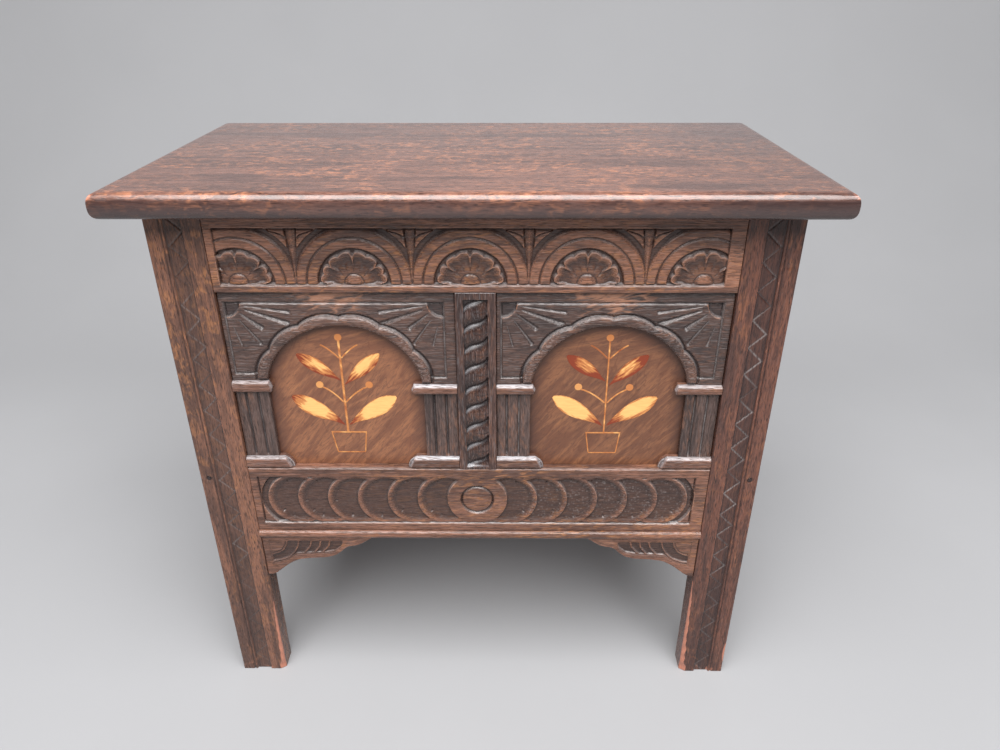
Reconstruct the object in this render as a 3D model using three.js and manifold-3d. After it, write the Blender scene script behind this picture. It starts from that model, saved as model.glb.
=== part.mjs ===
// A joined oak coffer chest: a framed front and back on stile legs, framed sides, a board floor,
// carved and inlaid front panels, and a board lid on two butt hinges.
//
// Millimetres, +Z up. X runs along the front, and the front faces -Y.
// The origin is on the floor, under the middle of the chest.

import * as THREE from 'three';
import { mergeVertices } from 'three/addons/utils/BufferGeometryUtils.js';
import Module from 'manifold-3d';

const wasm = await Module();
wasm.setup();

// Overall sizes
const bodyWidth = 517;
const bodyHeight = 504;
const bodyDepth = 270;

// Clearances
const fit = 0.2;
const lidGap = 0.3;
const cutOverrun = 3;

// Front and back frames: stiles that are also the legs, rails, and the muntin of the front
const frameThickness = 22;
const stileWidth = 45.5;
const topRailHeight = 67;
const lowerRailHeight = 71;
const legHeight = 192;
const muntinWidth = 34;
const tenonThickness = 8;
const tenonLength = 25;
const tenonShoulder = 10;
const muntinTenonWidth = 18;
const muntinTenonLength = 20;

// Panels held in grooves
const panelSet = 9.5;
const panelThickness = 7;
const panelGroove = 6;
const plainPanelThickness = 6;

// Sides
const sideThickness = 15;
const sideHousing = 6;

// Floor of the chest
const floorRise = 8;
const floorThickness = 10;

// Pegs through the front stiles into the ends of the side rails
const pegRadius = 2.2;
const pegLength = 50;
const upperPegRise = 23;
const lowerPegDrop = 11;

// Lid
const lidThickness = 21;
const lidFrontOverhang = 29;
const lidEndOverhang = 24;

// Butt hinges
const hingeLength = 38;
const hingeFromEnd = 92;
const leafWidth = 16;
const leafThickness = 1.5;
const knuckleRadius = 3;
const knuckleCount = 5;
const pinRadius = 1.25;
const pinClearance = 0.25;
const screwHeadRadius = 2.7;
const screwHeadHeight = 1.2;
const screwHeadEdge = 0.2;
const screwShankRadius = 1.3;
const screwLength = 13;
const screwPointLength = 2.5;
const screwSlotWidth = 0.6;
const screwSlotDepth = 0.5;
const screwSpacing = 22;
const screwFromPinEdge = 9;

// Carved band down each front stile
const bandWidth = 15.5;
const bandFromOutside = 14.5;
const bandSink = 2;
const beadLineWidth = 1.2;
const beadLineFromOutside = 11.5;
const beadLineSink = 1;

// Lunettes of the top rail
const lunetteFieldHeight = 46.5;
const lunetteFieldRise = 7.5;
const carvedFieldMargin = 9;
const lunetteSink = 3.5;
const lunetteCount = 5;
const lunetteSpacing = 93.75;
const lunetteOuterRadius = 47.2;
const lunetteGrooveRadius = 38;
const lunetteInnerRadius = 29;
const lunetteGrooveWidth = 1.2;
const lunetteGrooveSink = 1.2;
const rosetteRadius = 27;
const rosetteLobe = 1.2;
const rosettePetals = 6;
const rosetteSink = 1.2;
const rosetteBossRadius = 8.5;
const budWidth = 9;
const budHeight = 34;
const budCurl = 13;
const budCurlHeight = 20;

// Roundel and scales of the lower rail
const scaleFieldHeight = 53;
const scaleFieldRise = 9;
const scaleSink = 2.5;
const scaleCount = 6;
const scaleSpacing = 28;
const scaleRim = 4.5;
const scaleLap = 1;
const roundelRingRadius = 13.5;
const roundelRingWidth = 1.4;
const roundelRingSink = 1.2;

// Rope of the muntin
const ropeWidth = 20;
const ropeEndMargin = 4;
const ropeSink = 3;
const ropeSpacing = 19.6;
const ropeRise = 21;
const ropeStrandHeight = 13;

// Bead moulding under the lower rail
const beadHeight = 9;
const beadProjection = 3.5;

// Brackets
const bracketThickness = 16;
const bracketSet = 1;
const bracketLength = 110;
const bracketDrop = 50;
const bracketFootWidth = 8;
const bracketFieldMargin = 6.5;
const bracketFieldLength = 71;
const bracketFieldHeight = 28;
const bracketSink = 1.5;

// Arcade over each inlaid panel
const pilasterWidth = 30;
const pilasterSet = 4.5;
const reedCount = 3;
const reedGrooveWidth = 3.6;
const reedGrooveSink = 1.8;
const baseHeight = 12;
const baseOverhang = 13;
const baseNoseHeight = 9;
const capitalRiseShare = 0.454;
const capitalHeight = 8.3;
const capitalOverhang = 6.5;
const capitalNoseHeight = 6;
const capitalSplay = 2.5;
const archCentreShare = 0.4425;
const archTopMargin = 18;
const archFaceSet = 4;
const archMouldingWidth = 8;
const archLobeHeight = 3;
const archLobeCount = 6;
const archMouldingStand = 3;
const spandrelSink = 1;
const spandrelTopMargin = 8.5;
const spandrelSideMargin = 6.5;
const cornerRoundelRadius = 12;
const cornerRoundelSink = 2;

// Inlaid plant in a pot, drawn for a panel opening of this height
const plantOpeningHeight = 174;
const inlayThickness = 1.2;
const potRise = 12.7;
const potHeight = 21.3;
const potTopWidth = 31.5;
const potBottomWidth = 25;
const potLine = 1.6;
const stemWidth = 2.2;
const plantHeight = 130.5;
const budRadius = 3.2;
const berryRadius = 3.4;
const twigWidth = 1.4;
const lowerLeafLength = 52;
const lowerLeafWidth = 17;
const lowerLeafAngle = 33;
const lowerLeafRise = 41;
const upperLeafLength = 41;
const upperLeafWidth = 13;
const upperLeafAngle = 41;
const upperLeafRise = 86;
const berryTwigLength = 27;
const berryTwigAngle = 38;
const berryTwigRise = 68;
const topTwigLength = 18;
const topTwigAngle = 39;
const topTwigRise = 114;

// Smoothness of round work, in segments
const arcSegments = 18;
const smallArcSegments = 12;
const noseSegments = 10;
const barrelSegments = 16;
const screwSegments = 8;
const stepsInLobe = 4;

// Places worked out from the sizes
const leafProtrusion = fit + knuckleRadius;
const overallDepth = lidFrontOverhang + bodyDepth + leafProtrusion + knuckleRadius;
const frontFace = -overallDepth / 2 + lidFrontOverhang;
const backFace = frontFace + bodyDepth;
const frontInside = frontFace + frameThickness;
const backInside = backFace - frameThickness;
const bodyHalf = bodyWidth / 2;
const clearHalf = bodyHalf - stileWidth;
const openingBottom = legHeight + lowerRailHeight;
const openingTop = bodyHeight - topRailHeight;
const openingHeight = openingTop - openingBottom;
const panelWidth = clearHalf - muntinWidth / 2;
const panelCentre = muntinWidth / 2 + panelWidth / 2;
const sideOutside = bodyHalf;
const sideInside = bodyHalf - sideThickness;
const sideMiddle = bodyHalf - sideThickness / 2;
const lidUnder = bodyHeight + lidGap;
const hingeAxisY = backFace + leafProtrusion;
const hingeAxisZ = bodyHeight + lidGap / 2;
const tenonSet = (frameThickness - tenonThickness) / 2;

// Finishes
const finish = (color, roughness, metalness = 0) => (
	() => new THREE.MeshStandardMaterial({ color, roughness, metalness, flatShading: true })
);
const frameOak = finish(0x5b3a2a, 0.45);
const carvedOak = finish(0x3c2a24, 0.5);
const lidOak = finish(0x6b4030, 0.35);
const insideOak = finish(0x8a6a4a, 0.7);
const groundWalnut = finish(0x7d4a2b, 0.4);
const lightInlay = finish(0xd9a052, 0.4);
const brass = finish(0xa98445, 0.4, 1);
const steel = finish(0x6f6a62, 0.45, 1);

// Closed solids for cutting and joining

function solidOf(geometry) {
	const plain = geometry.clone();
	plain.deleteAttribute('normal');
	plain.deleteAttribute('uv');
	const merged = mergeVertices(plain);
	return new wasm.Manifold(new wasm.Mesh({
		numProp: 3,
		vertProperties: new Float32Array(merged.attributes.position.array),
		triVerts: new Uint32Array(merged.index.array),
	}));
}

function geometryOf(solid) {
	const { vertProperties, triVerts } = solid.getMesh();
	const geometry = new THREE.BufferGeometry();
	geometry.setAttribute('position', new THREE.BufferAttribute(vertProperties, 3));
	geometry.setIndex(new THREE.BufferAttribute(triVerts, 1));
	geometry.computeVertexNormals();
	return geometry;
}

const join = (first, ...others) => others.reduce((body, other) => body.add(other), first);
const cut = (first, ...tools) => tools.reduce((body, tool) => body.subtract(tool), first);

// A block between two places on each axis, in either order
function block(xs, ys, zs) {
	const ranges = [xs, ys, zs];
	const sizes = ranges.map(([from, to]) => Math.abs(to - from));
	const middles = ranges.map(([from, to]) => (from + to) / 2);
	return solidOf(new THREE.BoxGeometry(...sizes).translate(...middles));
}

// A prism from an outline of [a, b] points: drawn in X and Z along Y, in Y and Z along X,
// or in X and Y along Z
const axes = {
	x: new THREE.Matrix4().makeBasis(
		new THREE.Vector3(0, 1, 0), new THREE.Vector3(0, 0, 1), new THREE.Vector3(1, 0, 0)),
	y: new THREE.Matrix4().makeBasis(
		new THREE.Vector3(1, 0, 0), new THREE.Vector3(0, 0, 1), new THREE.Vector3(0, -1, 0)),
	z: new THREE.Matrix4(),
};

function prism(axis, outline, from, to) {
	const low = Math.min(from, to);
	const depth = Math.abs(to - from);
	const shape = new THREE.Shape(outline.map(([a, b]) => new THREE.Vector2(a, b)));
	const geometry = new THREE.ExtrudeGeometry(shape, { depth, bevelEnabled: false });
	geometry.applyMatrix4(axes[axis]);
	const shift = { x: [low, 0, 0], y: [0, low + depth, 0], z: [0, 0, low] }[axis];
	return solidOf(geometry.translate(...shift));
}

// Points on an arc, angles in radians, both ends included; the radius may differ across and up
function arc(centre, radius, start, end, segments) {
	const [across, up] = Array.isArray(radius) ? radius : [radius, radius];
	return Array.from({ length: segments + 1 }, (_, i) => {
		const angle = start + (end - start) * i / segments;
		return [centre[0] + across * Math.cos(angle), centre[1] + up * Math.sin(angle)];
	});
}

const circle = (centre, radius, segments) => (
	arc(centre, radius, 0, 2 * Math.PI, segments).slice(0, -1)
);

// Points on a smooth curve through the given ones
function curve(points, segments) {
	const path = new THREE.SplineCurve(points.map(([a, b]) => new THREE.Vector2(a, b)));
	return path.getPoints(segments).map((point) => [point.x, point.y]);
}

const mirrored = (points, side) => points.map(([a, b]) => [side * a, b]);

// The model

const chest = new THREE.Group();
chest.name = 'coffer_chest';
const carcase = new THREE.Group();
carcase.name = 'carcase';
const lid = new THREE.Group();
lid.name = 'lid';
chest.add(carcase, lid);

function place(group, name, solid, material, position = [0, 0, 0]) {
	const mesh = new THREE.Mesh(geometryOf(solid), material());
	mesh.name = name;
	mesh.position.set(...position);
	group.add(mesh);
}

const sides = [['left', -1], ['right', 1]];

// Depth behind the face of the front frame or the back frame
const frontY = (depth) => frontFace + depth;
const backY = (depth) => backFace - depth;

// Frames

function railTenons(frameY, bottom, top, grow) {
	const half = clearHalf + tenonLength + grow;
	return block(
		[-half, half],
		[frameY(tenonSet - grow), frameY(tenonSet + tenonThickness + grow)],
		[bottom + tenonShoulder - grow, top - tenonShoulder + grow],
	);
}

function rail(frameY, bottom, top) {
	const half = clearHalf - fit;
	const body = block([-half, half], [frameY(0), frameY(frameThickness)], [bottom, top]);
	return join(body, railTenons(frameY, bottom, top, 0));
}

// A panel and its groove are the same block, grown by the clearance for the groove
function framePanel(frameY, xs, set, thickness, grow) {
	const reach = panelGroove - fit + grow;
	return block(
		[xs[0] - reach, xs[1] + reach],
		[frameY(set - grow), frameY(set + thickness + grow)],
		[openingBottom - reach, openingTop + reach],
	);
}

const groundSpan = (side) => [
	side * panelCentre - panelWidth / 2,
	side * panelCentre + panelWidth / 2,
];
const frontPanel = (side, grow) => (
	framePanel(frontY, groundSpan(side), panelSet, panelThickness, grow)
);
const backPanelSet = (frameThickness - plainPanelThickness) / 2;
const backPanel = (grow) => (
	framePanel(backY, [-clearHalf, clearHalf], backPanelSet, plainPanelThickness, grow)
);

function muntinTenons(grow) {
	const half = muntinTenonWidth / 2 + grow;
	const reach = muntinTenonLength + grow;
	return block(
		[-half, half],
		[frontY(tenonSet - grow), frontY(tenonSet + tenonThickness + grow)],
		[openingBottom - reach, openingTop + reach],
	);
}

// Sides: rails housed in the backs of the stiles, with a panel between them

const sideReachFront = frontInside - sideHousing;
const sideReachBack = backInside + sideHousing;

function sideRail(side, bottom, top, grow) {
	return block(
		[side * (sideOutside + grow), side * (sideInside - grow)],
		[sideReachFront + fit - grow, sideReachBack - fit + grow],
		[bottom - grow, top + grow],
	);
}

function sidePanel(side, grow) {
	const half = plainPanelThickness / 2 + grow;
	const reach = panelGroove - fit + grow;
	return block(
		[side * (sideMiddle - half), side * (sideMiddle + half)],
		[sideReachFront + fit - grow, sideReachBack - fit + grow],
		[openingBottom - reach, openingTop + reach],
	);
}

// Floor boards: housed in the four lower rails, and notched round the stiles

const floorBottom = legHeight + floorRise;
const floorTop = floorBottom + floorThickness;
const floorMiddle = (frontFace + backFace) / 2;

function floorGroove(grow) {
	return block(
		[-(sideInside + panelGroove - fit + grow), sideInside + panelGroove - fit + grow],
		[frontInside - panelGroove + fit - grow, backInside + panelGroove - fit + grow],
		[floorBottom - grow, floorTop + grow],
	);
}

function stileBlock(side, frameY, grow) {
	return block(
		[side * (clearHalf - grow), side * (bodyHalf + grow)],
		[frameY(-grow), frameY(frameThickness + grow)],
		[0, bodyHeight],
	);
}

// Pegs

const pegHeights = { upper: openingTop + upperPegRise, lower: openingBottom - lowerPegDrop };

function peg(side, height, grow) {
	const outline = circle([side * sideMiddle, height], pegRadius + grow, smallArcSegments);
	return prism('y', outline, frontY(-grow), frontY(pegLength + grow));
}

const allPegHoles = (side) => (
	join(...Object.values(pegHeights).map((height) => peg(side, height, fit)))
);

// Stiles

function stile(side, frameY, panel) {
	return cut(
		stileBlock(side, frameY, 0),
		railTenons(frameY, legHeight, openingBottom, fit),
		railTenons(frameY, openingTop, bodyHeight, fit),
		panel,
		sideRail(side, legHeight, openingBottom, fit),
		sideRail(side, openingTop, bodyHeight, fit),
		sidePanel(side, fit),
	);
}

function stileBand(side) {
	const outside = bodyHalf - bandFromOutside;
	const line = bodyHalf - beadLineFromOutside;
	const run = [-cutOverrun, bodyHeight + cutOverrun];
	return join(
		block(
			[side * outside, side * (outside - bandWidth)],
			[frontY(-cutOverrun), frontY(bandSink)],
			run,
		),
		block(
			[side * line, side * (line - beadLineWidth)],
			[frontY(-cutOverrun), frontY(beadLineSink)],
			run,
		),
	);
}

for (const [word, side] of sides) {
	const front = cut(stile(side, frontY, frontPanel(side, fit)), stileBand(side), allPegHoles(side));
	place(carcase, `front_stile_${word}`, front, frameOak);
	place(carcase, `back_stile_${word}`, stile(side, backY, backPanel(fit)), frameOak);
}

// Carved fields: the ground is sunk, and what the carver left standing is kept out of the cutter

const fieldHalf = clearHalf - carvedFieldMargin;
const proud = (outline) => prism('y', outline, frontY(-cutOverrun), frontInside);

function sunkField(bottom, height, half, sink, kept) {
	const field = block([-half, half], [frontY(-cutOverrun), frontY(sink)], [bottom, bottom + height]);
	return cut(field, ...kept);
}

function ring(centre, inner, outer, segments) {
	return cut(proud(circle(centre, outer, segments)), proud(circle(centre, inner, segments)));
}

// Top rail with its lunettes

const lunetteBase = openingTop + lunetteFieldRise;
const lunetteCentres = Array.from({ length: lunetteCount }, (_, i) => (
	[(i - (lunetteCount - 1) / 2) * lunetteSpacing, lunetteBase]
));

function rosette(centre) {
	const steps = rosettePetals * stepsInLobe;
	return Array.from({ length: steps + 1 }, (_, i) => {
		const angle = Math.PI * i / steps;
		const lobe = Math.abs(Math.sin(rosettePetals * angle));
		const radius = rosetteRadius - rosetteLobe * (1 - lobe);
		return [centre[0] + radius * Math.cos(angle), centre[1] + radius * Math.sin(angle)];
	});
}

// A lily between two lunettes: an upright bud and two leaves that curl out under the margin
function lily(middle) {
	const top = lunetteBase + lunetteFieldHeight;
	const foot = top - budHeight;
	const bud = curve([
		[middle, foot],
		[middle + budWidth / 2, foot + budHeight / 2],
		[middle, top],
		[middle - budWidth / 2, foot + budHeight / 2],
		[middle, foot],
	], smallArcSegments).slice(0, -1);
	const curls = [-1, 1].map((side) => mirrored([
		[0, top - budCurlHeight],
		[budCurl / 2 + budWidth / 4, top - budCurlHeight / 4],
		[budCurl, top + cutOverrun],
		[0, top + cutOverrun],
	], side).map(([a, b]) => [a + middle, b]));
	return join(proud(bud), ...curls.map(proud));
}

function carvedTopRail() {
	const bands = lunetteCentres.map((centre) => (
		ring(centre, lunetteInnerRadius, lunetteOuterRadius, 2 * arcSegments)
	));
	const rosettes = lunetteCentres.map((centre) => proud(rosette(centre)));
	const lilies = lunetteCentres.slice(1).map(([x]) => lily(x - lunetteSpacing / 2));
	const deep = sunkField(lunetteBase, lunetteFieldHeight, fieldHalf, lunetteSink,
		[...bands, ...rosettes, ...lilies]);
	const inField = (sink) => sunkField(lunetteBase, lunetteFieldHeight, fieldHalf, sink, []);
	const grooves = lunetteCentres.map((centre) => ring(
		centre,
		lunetteGrooveRadius - lunetteGrooveWidth / 2,
		lunetteGrooveRadius + lunetteGrooveWidth / 2,
		2 * arcSegments,
	));
	const petalReach = (rosetteRadius + lunetteInnerRadius) / 2;
	const petals = lunetteCentres.map((centre) => (
		ring(centre, rosetteBossRadius, petalReach, 2 * smallArcSegments)
	));
	return cut(
		rail(frontY, openingTop, bodyHeight),
		deep,
		inField(lunetteGrooveSink).intersect(join(...grooves)),
		inField(rosetteSink).intersect(join(...petals)),
		frontPanel(-1, fit),
		frontPanel(1, fit),
		muntinTenons(fit),
	);
}

// Lower rail with its roundel and overlapping scales

const scaleBase = legHeight + scaleFieldRise;
const scaleRadius = scaleFieldHeight / 2 + scaleLap;
const scaleMiddle = scaleBase + scaleFieldHeight / 2;

function scale(side, index) {
	const along = index * scaleSpacing;
	const halfTurn = [-Math.PI / 2, Math.PI / 2];
	const outer = arc([along, scaleMiddle], scaleRadius, ...halfTurn, smallArcSegments);
	const inner = arc([along - scaleRim, scaleMiddle], scaleRadius, ...halfTurn, smallArcSegments);
	return proud(mirrored([...outer, ...inner.reverse()], side));
}

function carvedLowerRail() {
	const roundel = proud(circle([0, scaleMiddle], scaleRadius, 2 * arcSegments));
	const scales = [-1, 1].flatMap((side) => (
		Array.from({ length: scaleCount }, (_, i) => scale(side, i + 1))
	));
	const roundelRing = ring(
		[0, scaleMiddle],
		roundelRingRadius - roundelRingWidth / 2,
		roundelRingRadius + roundelRingWidth / 2,
		2 * smallArcSegments,
	);
	const ringDepth = sunkField(scaleBase, scaleFieldHeight, fieldHalf, roundelRingSink, []);
	return cut(
		rail(frontY, legHeight, openingBottom),
		sunkField(scaleBase, scaleFieldHeight, fieldHalf, scaleSink, [roundel, ...scales]),
		ringDepth.intersect(roundelRing),
		frontPanel(-1, fit),
		frontPanel(1, fit),
		muntinTenons(fit),
		floorGroove(fit),
	);
}

place(carcase, 'front_top_rail', carvedTopRail(), frameOak);
place(carcase, 'front_lower_rail', carvedLowerRail(), frameOak);

// Bead moulding under the lower rail, half round at the front

const beadBottom = legHeight - beadHeight;

function beadMoulding() {
	const radius = (beadHeight - fit) / 2;
	const centre = [frontY(radius - beadProjection), beadBottom + radius];
	const nose = arc(centre, radius, 1.5 * Math.PI, 0.5 * Math.PI, noseSegments);
	const back = [
		[frontInside, beadBottom + 2 * radius],
		[frontInside, beadBottom],
	];
	return prism('x', [...nose, ...back], -clearHalf + fit, clearHalf - fit);
}

place(carcase, 'bead_moulding', beadMoulding(), frameOak);

// Muntin with its rope

function ropeStrand(index) {
	const middle = openingBottom + ropeEndMargin + index * ropeSpacing;
	const half = ropeWidth / 2;
	const lower = curve([
		[-half, middle - ropeRise / 2],
		[-half / 2, middle - ropeRise / 4 - ropeStrandHeight / 4],
		[half / 2, middle + ropeRise / 4 - ropeStrandHeight / 4],
		[half, middle + ropeRise / 2],
	], noseSegments);
	const upper = curve([
		[half, middle + ropeRise / 2 + ropeStrandHeight / 2],
		[half / 2, middle + ropeRise / 4 + ropeStrandHeight / 2],
		[-half / 2, middle - ropeRise / 4 + ropeStrandHeight / 2],
		[-half, middle - ropeRise / 2 + ropeStrandHeight / 2],
	], noseSegments);
	return proud([...lower, ...upper]);
}

function carvedMuntin() {
	const strandCount = Math.floor(openingHeight / ropeSpacing) + 1;
	const strands = Array.from({ length: strandCount }, (_, i) => ropeStrand(i));
	const field = sunkField(openingBottom + ropeEndMargin, openingHeight - 2 * ropeEndMargin,
		ropeWidth / 2, ropeSink, strands);
	const body = block([-muntinWidth / 2, muntinWidth / 2], [frontFace, frontInside],
		[openingBottom + fit, openingTop - fit]);
	return cut(
		join(body, muntinTenons(0)),
		field,
		frontPanel(-1, fit),
		frontPanel(1, fit),
	);
}

place(carcase, 'muntin', carvedMuntin(), carvedOak);

// Back frame

const backTopRail = cut(rail(backY, openingTop, bodyHeight), backPanel(fit));
const backLowerRail = cut(rail(backY, legHeight, openingBottom), backPanel(fit), floorGroove(fit));
place(carcase, 'back_lower_rail', backLowerRail, frameOak);
place(carcase, 'back_panel', backPanel(0), insideOak);

// Side frames

for (const [word, side] of sides) {
	const holes = [sidePanel(side, fit), allPegHoles(side)];
	const topRail = cut(sideRail(side, openingTop, bodyHeight, 0), ...holes);
	const lowerRail = cut(sideRail(side, legHeight, openingBottom, 0), ...holes, floorGroove(fit));
	place(carcase, `side_top_rail_${word}`, topRail, frameOak);
	place(carcase, `side_lower_rail_${word}`, lowerRail, frameOak);
	place(carcase, `side_panel_${word}`, sidePanel(side, 0), frameOak);
	for (const [level, height] of Object.entries(pegHeights)) {
		place(carcase, `peg_${word}_${level}`, peg(side, height, 0), carvedOak);
	}
}

// Floor boards

const floorNotches = sides.flatMap(([, side]) => [
	stileBlock(side, frontY, fit),
	stileBlock(side, backY, fit),
]);
const floorHalves = [
	['front', [frontFace, floorMiddle - fit / 2]],
	['back', [floorMiddle + fit / 2, backFace]],
];
for (const [word, ys] of floorHalves) {
	const half = block([-bodyHalf, bodyHalf], ys, [floorBottom, floorTop]);
	place(carcase, `floor_board_${word}`, cut(floorGroove(0).intersect(half), ...floorNotches), insideOak);
}

// Inlaid panels

function leaf(side, rise, length, width, angle, grow) {
	const reach = length + 2 * grow;
	const half = width / 2 + grow;
	const upperShares = [[0, 0], [0.3, 0.75], [0.62, 1], [0.88, 0.55], [1, 0]];
	const lowerShares = [[0.8, -0.75], [0.5, -1], [0.22, -0.6]];
	const outline = [
		...curve(upperShares.map(([a, b]) => [a * reach, b * half]), smallArcSegments),
		...lowerShares.map(([a, b]) => [a * reach, b * half]),
	];
	const turn = THREE.MathUtils.degToRad(angle);
	return mirrored(outline.map(([a, b]) => [
		(a - grow) * Math.cos(turn) - b * Math.sin(turn),
		rise + (a - grow) * Math.sin(turn) + b * Math.cos(turn),
	]), side);
}

function bar(from, to, width) {
	const run = new THREE.Vector2(to[0] - from[0], to[1] - from[1]);
	const across = new THREE.Vector2(-run.y, run.x).setLength(width / 2);
	return [
		[from[0] + across.x, from[1] + across.y],
		[from[0] - across.x, from[1] - across.y],
		[to[0] - across.x, to[1] - across.y],
		[to[0] + across.x, to[1] + across.y],
	];
}

function twig(side, rise, length, angle, grow) {
	const turn = THREE.MathUtils.degToRad(angle);
	const reach = length + grow;
	const tip = [side * reach * Math.cos(turn), rise + reach * Math.sin(turn)];
	return { tip, outline: bar([0, rise], tip, twigWidth + 2 * grow) };
}

// The plant as one inlay, drawn from the foot of the panel; grown by the clearance it is its pocket
function plantOutlines(grow) {
	const potTop = potRise + potHeight;
	const stem = bar([0, potTop - potLine / 2], [0, plantHeight], stemWidth + 2 * grow);
	const outlines = [stem, circle([0, plantHeight], budRadius + grow, smallArcSegments)];
	for (const side of [-1, 1]) {
		const berryTwig = twig(side, berryTwigRise, berryTwigLength, berryTwigAngle, grow);
		outlines.push(
			leaf(side, lowerLeafRise, lowerLeafLength, lowerLeafWidth, lowerLeafAngle, grow),
			leaf(side, upperLeafRise, upperLeafLength, upperLeafWidth, upperLeafAngle, grow),
			twig(side, topTwigRise, topTwigLength, topTwigAngle, grow).outline,
			berryTwig.outline,
			circle(berryTwig.tip, berryRadius + grow, smallArcSegments),
		);
	}
	return outlines;
}

function potOutline(grow) {
	return [
		[-potBottomWidth / 2 - grow, potRise - grow],
		[potBottomWidth / 2 + grow, potRise - grow],
		[potTopWidth / 2 + grow, potRise + potHeight + grow],
		[-potTopWidth / 2 - grow, potRise + potHeight + grow],
	];
}

function plant(centre, grow) {
	const scale = openingHeight / plantOpeningHeight;
	const moved = (outline) => outline.map(([a, b]) => [centre + scale * a, openingBottom + scale * b]);
	const from = frontY(panelSet - grow);
	const to = frontY(panelSet + inlayThickness + grow);
	const piece = (outline) => prism('y', moved(outline), from, to);
	const pot = cut(piece(potOutline(grow)), prism('y', moved(potOutline(-potLine - grow)),
		frontY(panelSet - cutOverrun), frontY(panelSet + inlayThickness + cutOverrun)));
	return join(pot, ...plantOutlines(grow).map(piece));
}

for (const [word, side] of sides) {
	const centre = side * panelCentre;
	place(carcase, `inlaid_panel_${word}`, cut(frontPanel(side, 0), plant(centre, fit)), groundWalnut);
	place(carcase, `plant_inlay_${word}`, plant(centre, 0), lightInlay);
}

// Arcade: bases, reeded pilasters, capitals and the arch board, planted on each inlaid panel

const plantedBack = panelSet - fit;
const archRadius = panelWidth / 2 - pilasterWidth;
const archCentre = openingBottom + archCentreShare * openingHeight;
const archRise = openingTop - archTopMargin - archMouldingWidth - archLobeHeight - archCentre;
const capitalBottom = openingBottom + capitalRiseShare * openingHeight;
const capitalTop = capitalBottom + capitalHeight;

// Positions across one panel run from its middle towards its edge
function acrossPanel(panelSide, half, points) {
	return points.map(([a, b]) => [panelSide * panelCentre + half * a, b]);
}

// Section of a base or capital: flat nose below, rounded over to the face of the pilaster
function mouldingSection(bottom, height, noseHeight) {
	const top = bottom + height;
	const round = arc([frontY(pilasterSet), bottom + noseHeight], [pilasterSet, height - noseHeight],
		Math.PI, Math.PI / 2, noseSegments / 2);
	return [
		[frontY(plantedBack), bottom],
		[frontY(0), bottom],
		...round,
		[frontY(plantedBack), top],
	];
}

function planted(panelSide, half, bottom, height, noseHeight, outline) {
	const section = mouldingSection(bottom, height, noseHeight);
	const strip = prism('x', section, -bodyHalf, bodyHalf);
	const front = prism('y', acrossPanel(panelSide, half, outline), frontY(-cutOverrun), frontY(panelSet));
	return strip.intersect(front);
}

function base(panelSide, half) {
	const outer = panelWidth / 2 - fit;
	const bottom = openingBottom + fit;
	const height = baseHeight - fit;
	const round = arc([archRadius, bottom], [baseOverhang, height], Math.PI, Math.PI / 2, noseSegments / 2);
	const outline = [[outer, bottom], ...round, [outer, bottom + height]];
	return planted(panelSide, half, bottom, height, baseNoseHeight, outline);
}

function capital(panelSide, half) {
	const outer = panelWidth / 2 - fit;
	const inner = archRadius - capitalOverhang;
	const outline = [
		[outer, capitalBottom],
		[inner, capitalBottom],
		[inner + capitalSplay, capitalTop],
		[outer, capitalTop],
	];
	return planted(panelSide, half, capitalBottom, capitalHeight, capitalNoseHeight, outline);
}

function pilaster(panelSide, half) {
	const left = panelSide * panelCentre + half * (archRadius + pilasterWidth / 2) - pilasterWidth / 2;
	const start = half > 0 ? left : left + fit;
	const width = pilasterWidth - fit;
	const grooves = Array.from({ length: reedCount - 1 }, (_, i) => {
		const middle = start + ((i + 1) * width) / reedCount;
		return [
			[middle - reedGrooveWidth / 2, frontY(pilasterSet)],
			[middle, frontY(pilasterSet + reedGrooveSink)],
			[middle + reedGrooveWidth / 2, frontY(pilasterSet)],
		];
	});
	const outline = [
		[start, frontY(plantedBack)],
		[start, frontY(pilasterSet)],
		...grooves.flat(),
		[start + width, frontY(pilasterSet)],
		[start + width, frontY(plantedBack)],
	];
	return prism('z', outline, openingBottom + baseHeight + fit, capitalBottom - fit);
}

// Outer edge of the arch moulding, a row of shallow lobes
function lobedArch(start, steps) {
	return Array.from({ length: steps + 1 }, (_, i) => {
		const share = i / steps;
		const angle = start + (Math.PI - 2 * start) * share;
		const lobe = Math.abs(Math.sin(Math.PI * archLobeCount * share));
		const width = archMouldingWidth + archLobeHeight * lobe;
		return [(archRadius + width) * Math.cos(angle), archCentre + (archRise + width) * Math.sin(angle)];
	});
}

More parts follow.
